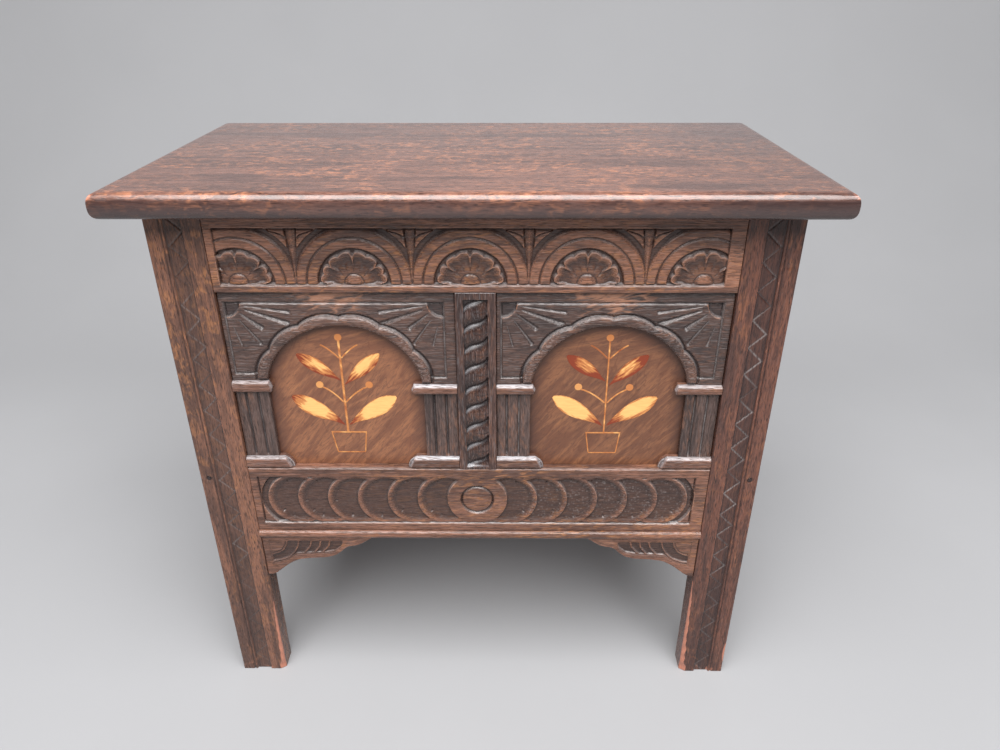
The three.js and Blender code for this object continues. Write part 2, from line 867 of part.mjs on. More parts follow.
function archBoard(panelSide) {
	const bottom = capitalTop + fit;
	const top = openingTop - fit;
	const half = panelWidth / 2 - fit;
	const start = Math.asin((bottom - archCentre) / archRise);
	const outerStart = Math.asin((bottom - archCentre) / (archRise + archMouldingWidth));
	const inner = arc([0, archCentre], [archRadius, archRise], start, Math.PI - start, arcSegments);
	const boardOutline = [
		[half, bottom],
		[half, top],
		[-half, top],
		[-half, bottom],
		...inner.slice().reverse(),
	];
	const atPanel = (outline, from, to) => (
		prism('y', acrossPanel(panelSide, 1, outline), frontY(from), frontY(to))
	);
	const lobes = lobedArch(outerStart, archLobeCount * stepsInLobe);
	const moulding = [...inner, ...lobes.reverse()];
	const fieldBottom = bottom + spandrelSideMargin / 2;
	const field = [
		[half - spandrelSideMargin, fieldBottom],
		[half - spandrelSideMargin, top - spandrelTopMargin],
		[spandrelSideMargin - half, top - spandrelTopMargin],
		[spandrelSideMargin - half, fieldBottom],
	];
	const fieldSet = archFaceSet + spandrelSink;
	const roundels = [-1, 1].map((side) => {
		const corner = [side * (half - spandrelSideMargin), top - spandrelTopMargin];
		const level = side > 0 ? Math.PI : 2 * Math.PI;
		const round = arc(corner, cornerRoundelRadius, level, 1.5 * Math.PI, smallArcSegments / 2);
		return atPanel([corner, ...round], archFaceSet - cutOverrun, fieldSet + cornerRoundelSink);
	});
	const board = cut(
		atPanel(boardOutline, archFaceSet, plantedBack),
		atPanel(field, archFaceSet - cutOverrun, fieldSet),
		...roundels,
	);
	return join(board, atPanel(moulding, archFaceSet - archMouldingStand, plantedBack));
}

for (const [word, side] of sides) {
	place(carcase, `arch_board_${word}`, archBoard(side), carvedOak);
	for (const half of [-1, 1]) {
		const where = side === half ? 'outer' : 'inner';
		place(carcase, `pilaster_${word}_${where}`, pilaster(side, half), carvedOak);
		place(carcase, `capital_${word}_${where}`, capital(side, half), carvedOak);
		place(carcase, `base_${word}_${where}`, base(side, half), carvedOak);
	}
}

// Brackets between the legs and the bead

function bracketOutline() {
	const reachShares = [[0.2, 0.3], [0.4, 0.49], [0.66, 0.5], [0.73, 0.66]];
	const toeShares = [[0.77, 0.76], [0.88, 0.83], [0.94, 0.92]];
	const bottom = beadBottom - bracketDrop;
	const at = ([a, b]) => [clearHalf - fit - a * bracketLength, bottom + b * bracketDrop];
	return [
		[clearHalf - fit, beadBottom - fit],
		[clearHalf - fit, bottom],
		[clearHalf - fit - bracketFootWidth, bottom],
		...curve(reachShares.map(at), noseSegments),
		...curve(toeShares.map(at), noseSegments / 2),
		[clearHalf - fit - bracketLength, beadBottom - fit],
	];
}

function bracketField() {
	const outside = clearHalf - bracketFieldMargin;
	const top = beadBottom - bracketFieldMargin;
	const lowShares = [[0, 0], [0.3, 0.37], [0.45, 0.46], [0.82, 0.48], [0.95, 0.62], [1, 1]];
	return [
		[outside, top],
		...lowShares.map(([a, b]) => [
			outside - a * bracketFieldLength,
			top - bracketFieldHeight + b * bracketFieldHeight,
		]),
	];
}

for (const [word, side] of sides) {
	const body = prism('y', mirrored(bracketOutline(), side), frontY(bracketSet),
		frontY(bracketSet + bracketThickness));
	const field = prism('y', mirrored(bracketField(), side), frontY(-cutOverrun),
		frontY(bracketSet + bracketSink));
	place(carcase, `bracket_${word}`, cut(body, field), frameOak);
}

// Hinges, drawn about the middle of the knuckles: X along the pin, -Y towards the wood

const knuckleStep = hingeLength / knuckleCount;
const alongPin = (radius, from, to) => (
	prism('x', circle([0, 0], radius, barrelSegments), from, to)
);

function hingeLeaf(up) {
	const near = lidGap / 2;
	const thick = [up * near, up * (near + leafThickness)];
	const half = hingeLength / 2;
	const plate = block([-half, half], [-leafProtrusion - leafWidth, -leafProtrusion], thick);
	const knuckles = Array.from({ length: knuckleCount }, (_, i) => i);
	const own = knuckles.filter((i) => (i % 2 === 1) === (up > 0));
	const barrels = own.flatMap((i) => {
		const from = -half + i * knuckleStep + fit / 2;
		const to = -half + (i + 1) * knuckleStep - fit / 2;
		return [
			alongPin(knuckleRadius, from, to),
			block([from, to], [-leafProtrusion - fit, 0], thick),
		];
	});
	const bore = alongPin(pinRadius + pinClearance, -half - cutOverrun, half + cutOverrun);
	return cut(join(plate, ...barrels), bore, ...screwHoles(up));
}

// A countersunk screw that points down, or up into the lid, with its head at the origin.
// Grown by the clearance and with a taller head it is the hole for that screw.
function screwBody(up, grow, headRise) {
	const profile = [
		[0, -screwLength - grow],
		[screwShankRadius + grow, -screwLength + screwPointLength],
		[screwShankRadius + grow, -screwHeadHeight],
		[screwHeadRadius + grow, 0],
		[screwHeadRadius + grow, headRise],
		[0, headRise],
	].map(([radius, z]) => new THREE.Vector2(radius, z));
	const lathed = new THREE.LatheGeometry(profile, screwSegments);
	return lathed.rotateX(up > 0 ? -Math.PI / 2 : Math.PI / 2);
}

function screw(up) {
	const slot = block([-screwHeadRadius, screwHeadRadius], [-screwSlotWidth / 2, screwSlotWidth / 2],
		[-up * cutOverrun, up * screwSlotDepth]);
	return cut(solidOf(screwBody(up, 0, screwHeadEdge)), slot);
}

const screwSeat = (up) => up * (lidGap / 2 + screwHeadEdge + fit / 2);
const screwPlaces = [-screwSpacing / 2, screwSpacing / 2];
const screwY = -leafProtrusion - screwFromPinEdge;

function screwHoles(up) {
	return screwPlaces.map((x) => (
		solidOf(screwBody(up, fit, screwHeadEdge + cutOverrun).translate(x, screwY, screwSeat(up)))
	));
}

// Recess and screw holes for one leaf, cut in the rail or the lid
function leafRecess(up, x) {
	const deep = lidGap / 2 + leafThickness + fit;
	const half = hingeLength / 2 + fit;
	const recess = block([-half, half], [-leafProtrusion - leafWidth - fit, cutOverrun],
		[up * deep, -up * cutOverrun]);
	const tools = join(recess, ...screwHoles(up));
	return solidOf(geometryOf(tools).translate(x, hingeAxisY, hingeAxisZ));
}

const hingePlaces = sides.map(([word, side]) => [word, side * (bodyHalf - hingeFromEnd)]);
const recesses = (up) => hingePlaces.map(([, x]) => leafRecess(up, x));

place(carcase, 'back_top_rail', cut(backTopRail, ...recesses(-1)), frameOak);

for (const [word, x] of hingePlaces) {
	const centre = [x, hingeAxisY, hingeAxisZ];
	const half = hingeLength / 2;
	place(carcase, `hinge_frame_leaf_${word}`, hingeLeaf(-1), brass, centre);
	place(carcase, `hinge_pin_${word}`, alongPin(pinRadius, -half, half), steel, centre);
	place(lid, `hinge_lid_leaf_${word}`, hingeLeaf(1), brass, centre);
	for (const [group, leafWord, up] of [[carcase, 'frame', -1], [lid, 'lid', 1]]) {
		screwPlaces.forEach((along, i) => place(
			group,
			`screw_${leafWord}_${word}_${i + 1}`,
			screw(up),
			brass,
			[x + along, hingeAxisY + screwY, hingeAxisZ + screwSeat(up)],
		));
	}
}

// Lid board: square at the back, round-nosed at the front and at both ends

function lidBoard() {
	const radius = lidThickness / 2;
	const middle = lidUnder + radius;
	const half = bodyHalf + lidEndOverhang;
	const front = frontFace - lidFrontOverhang;
	const nose = (centre, start, end) => arc([centre, middle], radius, start, end, noseSegments);
	const acrossEnds = [
		...nose(-half + radius, 1.5 * Math.PI, 0.5 * Math.PI),
		...nose(half - radius, 0.5 * Math.PI, -0.5 * Math.PI),
	];
	const acrossDepth = [
		...nose(front + radius, 1.5 * Math.PI, 0.5 * Math.PI),
		[backFace, lidUnder + lidThickness],
		[backFace, lidUnder],
	];
	const long = prism('x', acrossDepth, -half - cutOverrun, half + cutOverrun);
	const wide = prism('y', acrossEnds, front - cutOverrun, backFace + cutOverrun);
	return long.intersect(wide);
}

place(lid, 'lid_board', cut(lidBoard(), ...recesses(1)), lidOak);

export default chest;
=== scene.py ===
import math

import bpy
import numpy as np
from mathutils import Matrix, Vector


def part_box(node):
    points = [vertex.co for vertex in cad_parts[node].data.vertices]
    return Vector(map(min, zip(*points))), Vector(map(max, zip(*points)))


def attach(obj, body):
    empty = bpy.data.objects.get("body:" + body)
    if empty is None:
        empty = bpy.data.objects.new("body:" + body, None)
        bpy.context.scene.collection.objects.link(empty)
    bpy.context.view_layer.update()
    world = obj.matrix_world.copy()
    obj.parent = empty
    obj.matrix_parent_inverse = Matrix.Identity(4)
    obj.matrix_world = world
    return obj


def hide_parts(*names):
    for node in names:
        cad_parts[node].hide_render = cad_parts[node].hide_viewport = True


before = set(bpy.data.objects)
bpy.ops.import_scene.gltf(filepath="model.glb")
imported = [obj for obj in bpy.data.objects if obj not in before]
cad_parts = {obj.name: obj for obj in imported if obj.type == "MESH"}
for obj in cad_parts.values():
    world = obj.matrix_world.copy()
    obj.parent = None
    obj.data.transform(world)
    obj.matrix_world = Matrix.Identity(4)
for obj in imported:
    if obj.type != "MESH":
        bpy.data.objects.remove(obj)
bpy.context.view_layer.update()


# Front stiles
# Two uprights of quartered oak that run down to the floor as the front legs. Down each face
# runs a shallow sunk band with a zigzag cut in it and a V line beside it, and the feet are scuffed.

mm = 0.001
sides = {"left": -1, "right": 1}
stile_low, stile_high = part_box("front_stile_left")
front = stile_low.y
front_inside = stile_high.y
body_half = -stile_low.x
clear_half = -stile_high.x
body_top = stile_high.z
joint_gap = 0.15 * mm
carved_angle = math.radians(78)


def lines(low, high, spacing):
    """Grid lines from low to high, drawn together at both ends, where an edge is worn round."""
    ease = np.array([0, 0.15, 0.4, 0.8, 1.4]) * mm
    count = max(2, round((high - low - 2 * ease[-1]) / spacing))
    middle = np.linspace(low + ease[-1], high - ease[-1], count + 1)
    return np.concatenate([low + ease[:-1], middle, high - ease[-2::-1]])


def grid(across, up):
    return np.meshgrid(across, up, indexing="ij")


def rise(distance, width):
    """0 up to distance 0, 1 from width on, with a round foot and shoulder."""
    share = np.clip(distance / width, 0, 1)
    return share * share * (3 - 2 * share)


def eased(inset, radius):
    """How far an edge worn to this radius falls back, inset metres in from the edge."""
    short = radius - np.clip(inset, 0, radius)
    return radius - np.sqrt(radius**2 - short**2)


def rounding(share):
    """How far a quarter round falls back, 0 where share is 0 and 1 where it is 1."""
    return 1 - np.sqrt(np.clip(1 - share**2, 0, 1))


def vee(distance, depth, half_width):
    """Depth of a V cut, distance metres from its line."""
    return depth * np.clip(1 - np.abs(distance) / half_width, 0, 1)


def between(first, second, share):
    return first + (second - first) * share


def softened(values, rounds):
    for _ in range(rounds):
        wide = np.pad(values, 1, mode="edge")
        values = (values + wide[:-2, 1:-1] + wide[2:, 1:-1] + wide[1:-1, :-2] + wide[1:-1, 2:]) / 5
    return values


def set_share(piece, name, values):
    """Writes one number for each vertex, which the finishes read by this name."""
    attribute = piece.data.attributes.get(name) or piece.data.attributes.new(name, "FLOAT", "POINT")
    attribute.data.foreach_set("value", np.asarray(values, np.float32))


def points_of(piece):
    flat = np.empty(3 * len(piece.data.vertices), np.float32)
    piece.data.vertices.foreach_get("co", flat)
    return flat.reshape(-1, 3)


def facing_up(depth, x, z):
    """How steeply the depth grows with height: 1 where a cut faces up at 45 degrees."""
    (x_u, x_v), (z_u, z_v), (d_u, d_v) = (np.gradient(values) for values in (x, z, depth))
    return (x_u * d_v - x_v * d_u) / (x_u * z_v - x_v * z_u)


def carve(name, x, z, face, back, cuts, ground=3 * mm, bare=None, highlight_marks=None, highlight_share=1.0):
    """A solid board worked down from its face, as a carver works. x and z place the points of
    the face, cuts gives the depth at each, and the edges are then drawn back and closed."""
    columns, rows = x.shape
    bpy.ops.object.select_all(action="DESELECT")
    bpy.ops.mesh.primitive_grid_add(x_subdivisions=columns - 1, y_subdivisions=rows - 1, size=1)
    piece = bpy.context.object
    piece.name = piece.data.name = name
    flat = points_of(piece)
    column = np.rint((flat[:, 0] + 0.5) * (columns - 1)).astype(int)
    row = np.rint((flat[:, 1] + 0.5) * (rows - 1)).astype(int)
    depth = cuts(x, z)
    placed = np.stack([x[column, row], face + depth[column, row], z[column, row]], axis=1)
    piece.data.vertices.foreach_set("co", placed.astype(np.float32).ravel())
    rounds, fall_off = 6, 1.2 * mm
    fallen = np.pad(depth, rounds, mode="edge")
    outside = np.ones_like(fallen, bool)
    outside[rounds:-rounds, rounds:-rounds] = False
    fallen[outside] += fall_off
    proud = softened(fallen, rounds)[rounds:-rounds, rounds:-rounds] - depth
    worn = np.clip(proud / (0.8 * mm) - 0.15, 0, 0.85)
    if bare is not None:
        worn = np.maximum(worn, bare(x, z))
    # Painted shade: cuts, hollows and creases darken with their depth, over the stain that lies in them.
    stain_and_shade = np.clip(0.85 * rise(depth, ground) + 0.6 * np.clip(-proud / (0.5 * mm), 0, 1), 0, 1)
    # Painted highlight: a pale tone on the slopes that face up, standing for the light they catch, plus
    # any painted lines that each piece adds.
    painted_highlight = highlight_share * softened(np.clip((facing_up(depth, x, z) - 0.45) / 0.8, 0, 1), 1)
    if highlight_marks is not None:
        painted_highlight = np.maximum(painted_highlight, highlight_marks(x, z))
    shares = {"worn": worn, "stain_and_shade": stain_and_shade, "painted_highlight": painted_highlight}
    for share, values in shares.items():
        set_share(piece, share, values[column, row])
    lip = face + max(float(depth.max()) + 0.4 * mm, min(3 * mm, (back - face) / 2))
    bpy.ops.object.mode_set(mode="EDIT")
    bpy.ops.mesh.select_all(action="SELECT")
    bpy.ops.mesh.region_to_loop()
    for plane in (lip, back):
        bpy.ops.mesh.extrude_region_move()
        bpy.ops.transform.resize(value=(1, 0, 1), center_override=(0, plane, 0))
    bpy.ops.mesh.edge_face_add()
    bpy.ops.mesh.select_all(action="SELECT")
    bpy.ops.mesh.normals_make_consistent(inside=False)
    bpy.ops.object.mode_set(mode="OBJECT")
    behind = points_of(piece)[:, 1] > lip - 0.05 * mm
    for share in shares:
        values = np.empty(len(behind), np.float32)
        piece.data.attributes[share].data.foreach_get("value", values)
        values[behind] = 0
        set_share(piece, share, values)
    bpy.ops.object.shade_smooth_by_angle(angle=carved_angle)
    return piece


def new_finish(name):
    material = bpy.data.materials.new(name)
    material.use_nodes = True
    return material


def node(material, kind, inputs=None, **settings):
    """One shader node. Its inputs are plain values or other nodes' outputs."""
    made = material.node_tree.nodes.new("ShaderNode" + kind)
    for setting, value in settings.items():
        setattr(made, setting, value)
    for socket, value in (inputs or {}).items():
        if isinstance(value, bpy.types.NodeSocket):
            material.node_tree.links.new(value, made.inputs[socket])
        else:
            made.inputs[socket].default_value = value
    return made


def mixed(material, share, first, second):
    """Colour mix: the unnamed sockets 0, 6 and 7 are its share and its two colours."""
    first, second = ((*part, 1) if isinstance(part, tuple) else part for part in (first, second))
    return node(material, "Mix", {0: share, 6: first, 7: second}, data_type="RGBA").outputs[2]


def step(material, value, low, high, top=1.0):
    """0 where value is at low, rising smoothly to top where it is at high."""
    inputs = {"Value": value, "From Min": low, "From Max": high, "To Max": top}
    return node(material, "MapRange", inputs, interpolation_type="SMOOTHSTEP").outputs["Result"]


def worked_out(material, operation, *values):
    return node(material, "Math", dict(enumerate(values)), operation=operation).outputs[0]


def times(material, first, second):
    return worked_out(material, "MULTIPLY", first, second)


def added(material, first, second):
    return worked_out(material, "ADD", first, second)


def share_of(material, name):
    """The share that set_share wrote on the piece under this name."""
    return node(material, "Attribute", attribute_name=name).outputs["Fac"]


def cloud(material, scale, detail, turn=(0, 0, 0), distortion=0.0, shift=(0, 0, 0)):
    """Noise on the piece's own coordinates, with scale counts to the metre on each axis."""
    place = node(material, "TexCoord").outputs["Object"]
    if any(turn):
        place = node(material, "Mapping", {"Vector": place, "Rotation": turn}).outputs[0]
    place = node(material, "Mapping", {"Vector": place, "Scale": scale, "Location": shift}).outputs[0]
    inputs = {"Vector": place, "Scale": 1.0, "Detail": detail, "Distortion": distortion}
    return node(material, "TexNoise", inputs).outputs[0]


def finished(material, colour, rough, height, strength, distance):
    """The shader takes its colour, its roughness and a bump of this height."""
    shader = material.node_tree.nodes["Principled BSDF"]
    bump = node(material, "Bump", {"Strength": strength, "Distance": distance, "Height": height})
    for socket, value in (("Base Color", colour), ("Roughness", rough), ("Normal", bump.outputs[0])):
        material.node_tree.links.new(value, shader.inputs[socket])
    return shader


def oak(name, axis, dark, brown, honey, bare, polish=0.17, fleck=0.5, tooth=0.2 * mm,
        highlight_and_wax=(0.36, 0.32, 0.31), broad=1.0, ridge_sheen=0.1):
    """Quartered oak under a dark stain and wax. The stain sits in the pores and the cuts, and
    has rubbed through to honey on the rays and to bare wood on the worn edges. The cuts are
    darkened further as painted shade, and a pale painted highlight lies where they face up.
    tooth is how deep the open grain stands, broad how wide it runs across the board, ridge_sheen
    how much painted sheen lies on the raised grain, and highlight_and_wax the pale tone they take."""
    material = new_finish(name)

    def grain(along, across, detail, distortion=0.0, turn=(0, 0, 0), shift=(0, 0, 0)):
        scale = [across] * 3
        scale["xyz".index(axis)] = along
        return cloud(material, scale, detail, turn, distortion, shift)

    board = grain(5, 45, 3, 0.6)
    streak = grain(30, 520 / broad, 4, 0.3)
    fine = grain(90, 1500 / broad, 2)
    pore = grain(150, 2400 / broad, 2, shift=(1, 2, 3))
    ray = grain(75 * math.sqrt(broad), 300 / broad, 3, 0.8, turn=(0, 0.12, 0), shift=(3, 7, 5))
    patch = grain(9, 22, 2, 0.5, shift=(8, 1, 4))
    blend = added(material, times(material, board, 0.5), times(material, streak, 0.5))
    colour = mixed(material, step(material, blend, 0.4, 0.58), dark, brown)
    glow = times(material, step(material, ray, 0.46, 0.66), step(material, fine, 0.2, 0.6))
    glow = times(material, glow, step(material, patch, 0.36, 0.6))
    colour = mixed(material, times(material, glow, fleck), colour, honey)
    colour = mixed(material, step(material, fine, 0.5, 0.36, 0.5), colour, dark)
    pores = step(material, pore, 0.45, 0.36, 0.8)
    colour = mixed(material, pores, colour, tuple(0.35 * part for part in dark))
    # Painted sheen on the raised grain, in the same pale tone.
    colour = mixed(material, step(material, fine, 0.55, 0.68, ridge_sheen), colour, highlight_and_wax)
    # The cuts and hollows darken to this tone: the stain in them and painted shade.
    stain_and_shade_tone = (0.4 * dark[0], 0.5 * dark[1], 0.62 * dark[2])
    colour = mixed(material, times(material, share_of(material, "stain_and_shade"), 0.9), colour, stain_and_shade_tone)
    rubbed = added(material, times(material, ray, 0.9), times(material, share_of(material, "worn"), 0.8))
    colour = mixed(material, step(material, rubbed, 0.85, 1.15, 0.85), colour, bare)
    # Painted highlight where the cuts face up, in the pale tone.
    highlight_mix = times(material, share_of(material, "painted_highlight"), step(material, pore, 0.3, 0.6, 0.7))
    colour = mixed(material, highlight_mix, colour, highlight_and_wax)
    rough = added(material, step(material, fine, 0.3, 0.7, 0.14), polish)
    height = added(material, times(material, pores, -1.0), times(material, fine, 0.6))
    finished(material, colour, rough, height, 0.5, tooth).inputs["IOR"].default_value = 1.5
    return material


def belongs(piece, finish, body, slot, *nodes):
    """The piece takes its finish, moves with its body, and stands for these CAD nodes."""
    piece.data.materials.clear()
    piece.data.materials.append(finish)
    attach(piece, body)
    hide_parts(*nodes)


umber = (0.1, 0.048, 0.034)
chestnut = (0.25, 0.112, 0.07)
amber_oak = (0.42, 0.175, 0.065)
bare_oak = (0.58, 0.23, 0.15)
upright_oak = {
    "left": oak("upright_oak_left", "z", umber, (0.228, 0.101, 0.062), (0.38, 0.16, 0.065),
                bare_oak, fleck=0.65, broad=1.8, ridge_sheen=0.04),
    "right": oak("upright_oak_right", "z", (0.07, 0.031, 0.024), (0.16, 0.062, 0.04),
                 (0.27, 0.105, 0.05), bare_oak, fleck=0.55, broad=1.5, ridge_sheen=0.04),
}

band_start = 14.5 * mm
band_end = 30 * mm
band_depth = 2 * mm
line_inset = 12.2 * mm
zigzag_pitch = 25.2 * mm
zigzag_peak = 261 * mm
zigzag_middle = 23 * mm
zigzag_swing = 6.5 * mm
pegs = {level: sum(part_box(f"peg_left_{level}"), Vector()) / 2 for level in ("upper", "lower")}
peg_radius = 2.3 * mm
peg_sinking = {"upper": 0.3 * mm, "lower": 0.9 * mm}
foot_scuff = {-1: (4.6 * mm, 100 * mm), 1: (5.2 * mm, 130 * mm)}
zigzag_depth = {-1: 0.55 * mm, 1: 0.85 * mm}
# How strong the pale zigzag lines are, partly wax and partly painted highlight.
zigzag_wax_and_highlight = {-1: 0.45, 1: 0.95}


def scuff_of(side, x, z):
    """How far a point lies inside the scuff that runs up the foot's inner arris."""
    width, height = foot_scuff[side]
    reach = width * (np.clip(1 - z / height, 0, 1) ** 0.7 + 0.5 * np.clip(1 - z / (25 * mm), 0, 1))
    return reach * (0.8 + 0.2 * np.sin(z / (7 * mm)) * np.sin(z / (3 * mm))) - (side * x - clear_half)


def from_zigzag(side, x, z):
    """Distance from the zigzag, square to its line."""
    swing = 1 - 4 * np.abs(((z - zigzag_peak) / zigzag_pitch + 0.5) % 1 - 0.5)
    across = body_half - side * x - zigzag_middle - zigzag_swing * swing
    return across / math.hypot(1, 4 * zigzag_swing / zigzag_pitch)


def stile_cuts(side):
    def cuts(x, z):
        inset = body_half - side * x
        depth = band_depth * rise(np.minimum(inset - band_start, band_end - inset), 0.9 * mm)
        depth += vee(inset - line_inset, 1.4 * mm, 1 * mm)
        faint = (0.7 + 0.3 * np.sin(z / (23 * mm) + side)) * rise(z - 12 * mm, 3 * mm)
        depth += vee(from_zigzag(side, x, z), zigzag_depth[side], 0.85 * mm) * faint
        depth += 0.6 * np.clip(scuff_of(side, x, z), 0, None)
        for level, peg in pegs.items():
            hole = np.hypot(side * x + peg.x, z - peg.z)
            depth = np.maximum(depth, peg_sinking[level] * (1 - rise(hole - peg_radius, 0.5 * mm)))
        edge = np.minimum(np.minimum(inset, side * x - clear_half), body_top - z)
        return depth + np.maximum(eased(edge, 1.3 * mm), eased(z, 0.7 * mm))
    return cuts


def stile_wax_and_highlight(side):
    """Pale lines in the zigzag, partly wax and partly a painted highlight, most of them on the right
    stile.
    """
    def highlight_marks(x, z):
        broken = np.clip(0.75 + 0.6 * np.sin(z / (9 * mm) + side) * np.sin(z / (31 * mm)), 0, 1)
        kept = 0.4 + 0.6 * rise(450 * mm - z, 40 * mm) * rise(z - 120 * mm, 60 * mm)
        line = np.clip(1.3 - np.abs(from_zigzag(side, x, z) + 0.25 * mm) / (0.75 * mm), 0, 1)
        return zigzag_wax_and_highlight[side] * broken * kept * line
    return highlight_marks


def stile_bare(side):
    """Bare wood in the scuffs and low on the foot, and a chip out of the right stile's edge."""
    def bare(x, z):
        foot = 0.55 * np.clip(1 - z / (40 * mm), 0, 1)
        chip = 1 - rise(np.hypot(side * x - body_half, (z - 29 * mm) / 6) - 2 * mm, 0.8 * mm)
        scuffed = rise(scuff_of(side, x, z) + 0.2 * mm, 0.5 * mm)
        return np.maximum.reduce([scuffed, foot, chip * (side > 0)])
    return bare


for word, side in sides.items():
    edges = sorted((side * body_half, side * (clear_half + joint_gap)))
    across, up = grid(lines(*edges, 0.5 * mm), lines(0, body_top, 0.75 * mm))
    stile = carve(f"stile_front_{word}", across, up, front, front_inside, stile_cuts(side),
                  bare=stile_bare(side), highlight_marks=stile_wax_and_highlight(side))
    belongs(stile, upright_oak[word], "carcase", "frame_oak", f"front_stile_{word}")


# Top rail of the front
# An oak rail tenoned between the stiles. Its ground is sunk round five lunettes, each a double
# band over half a rosette of four lobed petals, with a lily in each spandrel between them.

worked_bare = (0.38, 0.195, 0.13)
flat_oak = oak("flat_oak", "x", (0.115, 0.056, 0.04), (0.34, 0.152, 0.092), amber_oak, worked_bare,
               fleck=0.7)
top_rail_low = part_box("front_top_rail")[0].z
lunette_base = top_rail_low + 7.5 * mm
lunette_top = top_rail_low + 54 * mm
lunette_middle = -3.5 * mm
lunette_step = 94 * mm
lunette_edge = 46.6 * mm
lunette_inside = 29.6 * mm
lunette_groove = 38.4 * mm
petal_reach = 25.4 * mm
petal_lobe = 2.2 * mm
petal_ribs = (0, 38, 90, 142, 180)
boss_radius = 8.3 * mm
field_half = 204.2 * mm
field_middle = -2.5 * mm
rail_ground = 3.2 * mm


def petals(radius, angle):
    """Depth inside one half rosette: four lobed petals between their ribs, round a boss."""
    degree = np.degrees(angle)
    hollow = rail_ground + 0.8 * mm
    depth = np.full_like(radius, hollow)
    for first, last in zip(petal_ribs, petal_ribs[1:]):
        half = (last - first) / 2
        turn = (degree - first - half) / half
        lobe = np.abs(np.sin(np.pi * turn)) ** 0.6 - rise(np.abs(turn) - 0.8, 0.2)
        reach = petal_reach + petal_lobe * lobe
        from_rib = (1 - np.abs(turn)) * np.radians(half) * radius
        bowl = np.clip((reach - radius) / (16 * mm), 0, 1)
        surface = 0.4 * mm + 2.9 * mm * rise(bowl, 0.55) - 1.5 * mm * rise(bowl - 0.55, 0.45)
        ribbed = rise(bowl, 0.4) * (1 - 0.8 * rise(bowl - 0.55, 0.25))
        surface -= 0.9 * mm * (1 - rise(from_rib - 0.2 * mm, 1.3 * mm)) * ribbed
        inside = rise(reach - radius, 0.9 * mm)
        depth = np.where(np.abs(turn) <= 1, between(hollow, surface, inside), depth)
    dome = 0.2 * mm + 3 * mm * rounding(radius / boss_radius)
    return between(depth, dome, rise(boss_radius + 0.4 * mm - radius, 0.6 * mm))


def spandrel(across, up, gap):
    """Depth of the lily between two lunettes, gap metres clear of their edges: a ridged bud, a
    blade on each side that curls away from it at the top, and hollows round them."""
    out = np.abs(across)
    half = 0.4 * mm + 0.088 * up
    hook = half + 1.4 * mm + 0.32 * np.clip(up - 38 * mm, 0, None) ** 2 / mm
    blade = rise(gap - 5.2 * mm, 1.1 * mm) * rise(out - half - 0.2 * mm, 0.9 * mm) * (up > 24 * mm)
    curl = vee(out - hook, 1.0, 1.5 * mm) * rise(up - 36 * mm, 3 * mm)
    hollow = 0.8 * mm + 2.1 * mm * np.sin(np.pi * np.clip(gap / (5.6 * mm), 0, 1) ** 0.8)
    hollow = np.where(gap > 2.8 * mm, 2.9 * mm, hollow)
    bud = 0.5 * mm + 1.7 * mm * np.clip(out / half, 0, 1) ** 0.8
    depth = between(hollow, 0.35 * mm + 2.4 * mm * curl, blade)
    return between(depth, bud, rise(half + 0.3 * mm - out, 0.6 * mm))


def top_rail_cuts(x, z):
    index = np.clip(np.rint((x - lunette_middle) / lunette_step), -2, 2)
    across, up = x - lunette_middle - index * lunette_step, z - lunette_base
    radius, angle = np.hypot(across, up), np.arctan2(np.clip(up, 0, None), across)
    half_step = np.abs(np.abs(across) - lunette_step / 2)
    depth = spandrel(half_step, np.clip(up, 0, None), radius - lunette_edge)
    band = 0.6 * mm + eased(np.minimum(lunette_edge - radius, radius - lunette_inside), 1.7 * mm)
    band += vee(radius - lunette_groove, 1.6 * mm, 1.4 * mm)
    depth = between(depth, band, rise(lunette_edge + 0.2 * mm - radius, 0.7 * mm))
    depth = between(depth, petals(radius, angle), rise(lunette_inside + 0.2 * mm - radius, 0.9 * mm))
    border = np.minimum(field_half - np.abs(x - field_middle), lunette_top - z)
    ledge = np.maximum(depth, 2.2 * mm) * np.clip((up + 2.2 * mm) / (2 * mm), 0, 1)
    depth = np.where(up < 0, ledge, depth) * rise(border, 0.8 * mm)
    depth += vee(border - 0.9 * mm, 1 * mm, 0.9 * mm) * (up > -1 * mm)
    edge = np.minimum(rail_half - np.abs(x), np.minimum(z - top_rail_low, body_top - z))
    return depth + eased(edge, 0.8 * mm)


rail_half = clear_half - joint_gap
across, up = grid(lines(-rail_half, rail_half, 0.58 * mm), lines(top_rail_low, body_top, 0.56 * mm))
top_rail = carve("rail_front_top", across, up, front, front_inside, top_rail_cuts)
belongs(top_rail, flat_oak, "carcase", "frame_oak", "front_top_rail")


# Lower rail of the front
# A second oak rail. A plain roundel stands in the middle, with six scales lapped outwards on
# each side of it, each a raised crescent over a ground that is pricked with a small punch.

lower_low, lower_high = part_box("front_lower_rail")
scale_floor = lower_low.z + 10 * mm
scale_top = lower_low.z + 62.3 * mm
scale_middle = lower_low.z + 36.2 * mm
scale_radius = 28.6 * mm
scale_step = 28.2 * mm
scale_shift = -1.5 * mm
scale_count = 6
roundel_ring = 14.8 * mm
punch_reach = 20.8 * mm
punch_angles = (-71, -43, -8, 27, 66)
speck_seed = 7


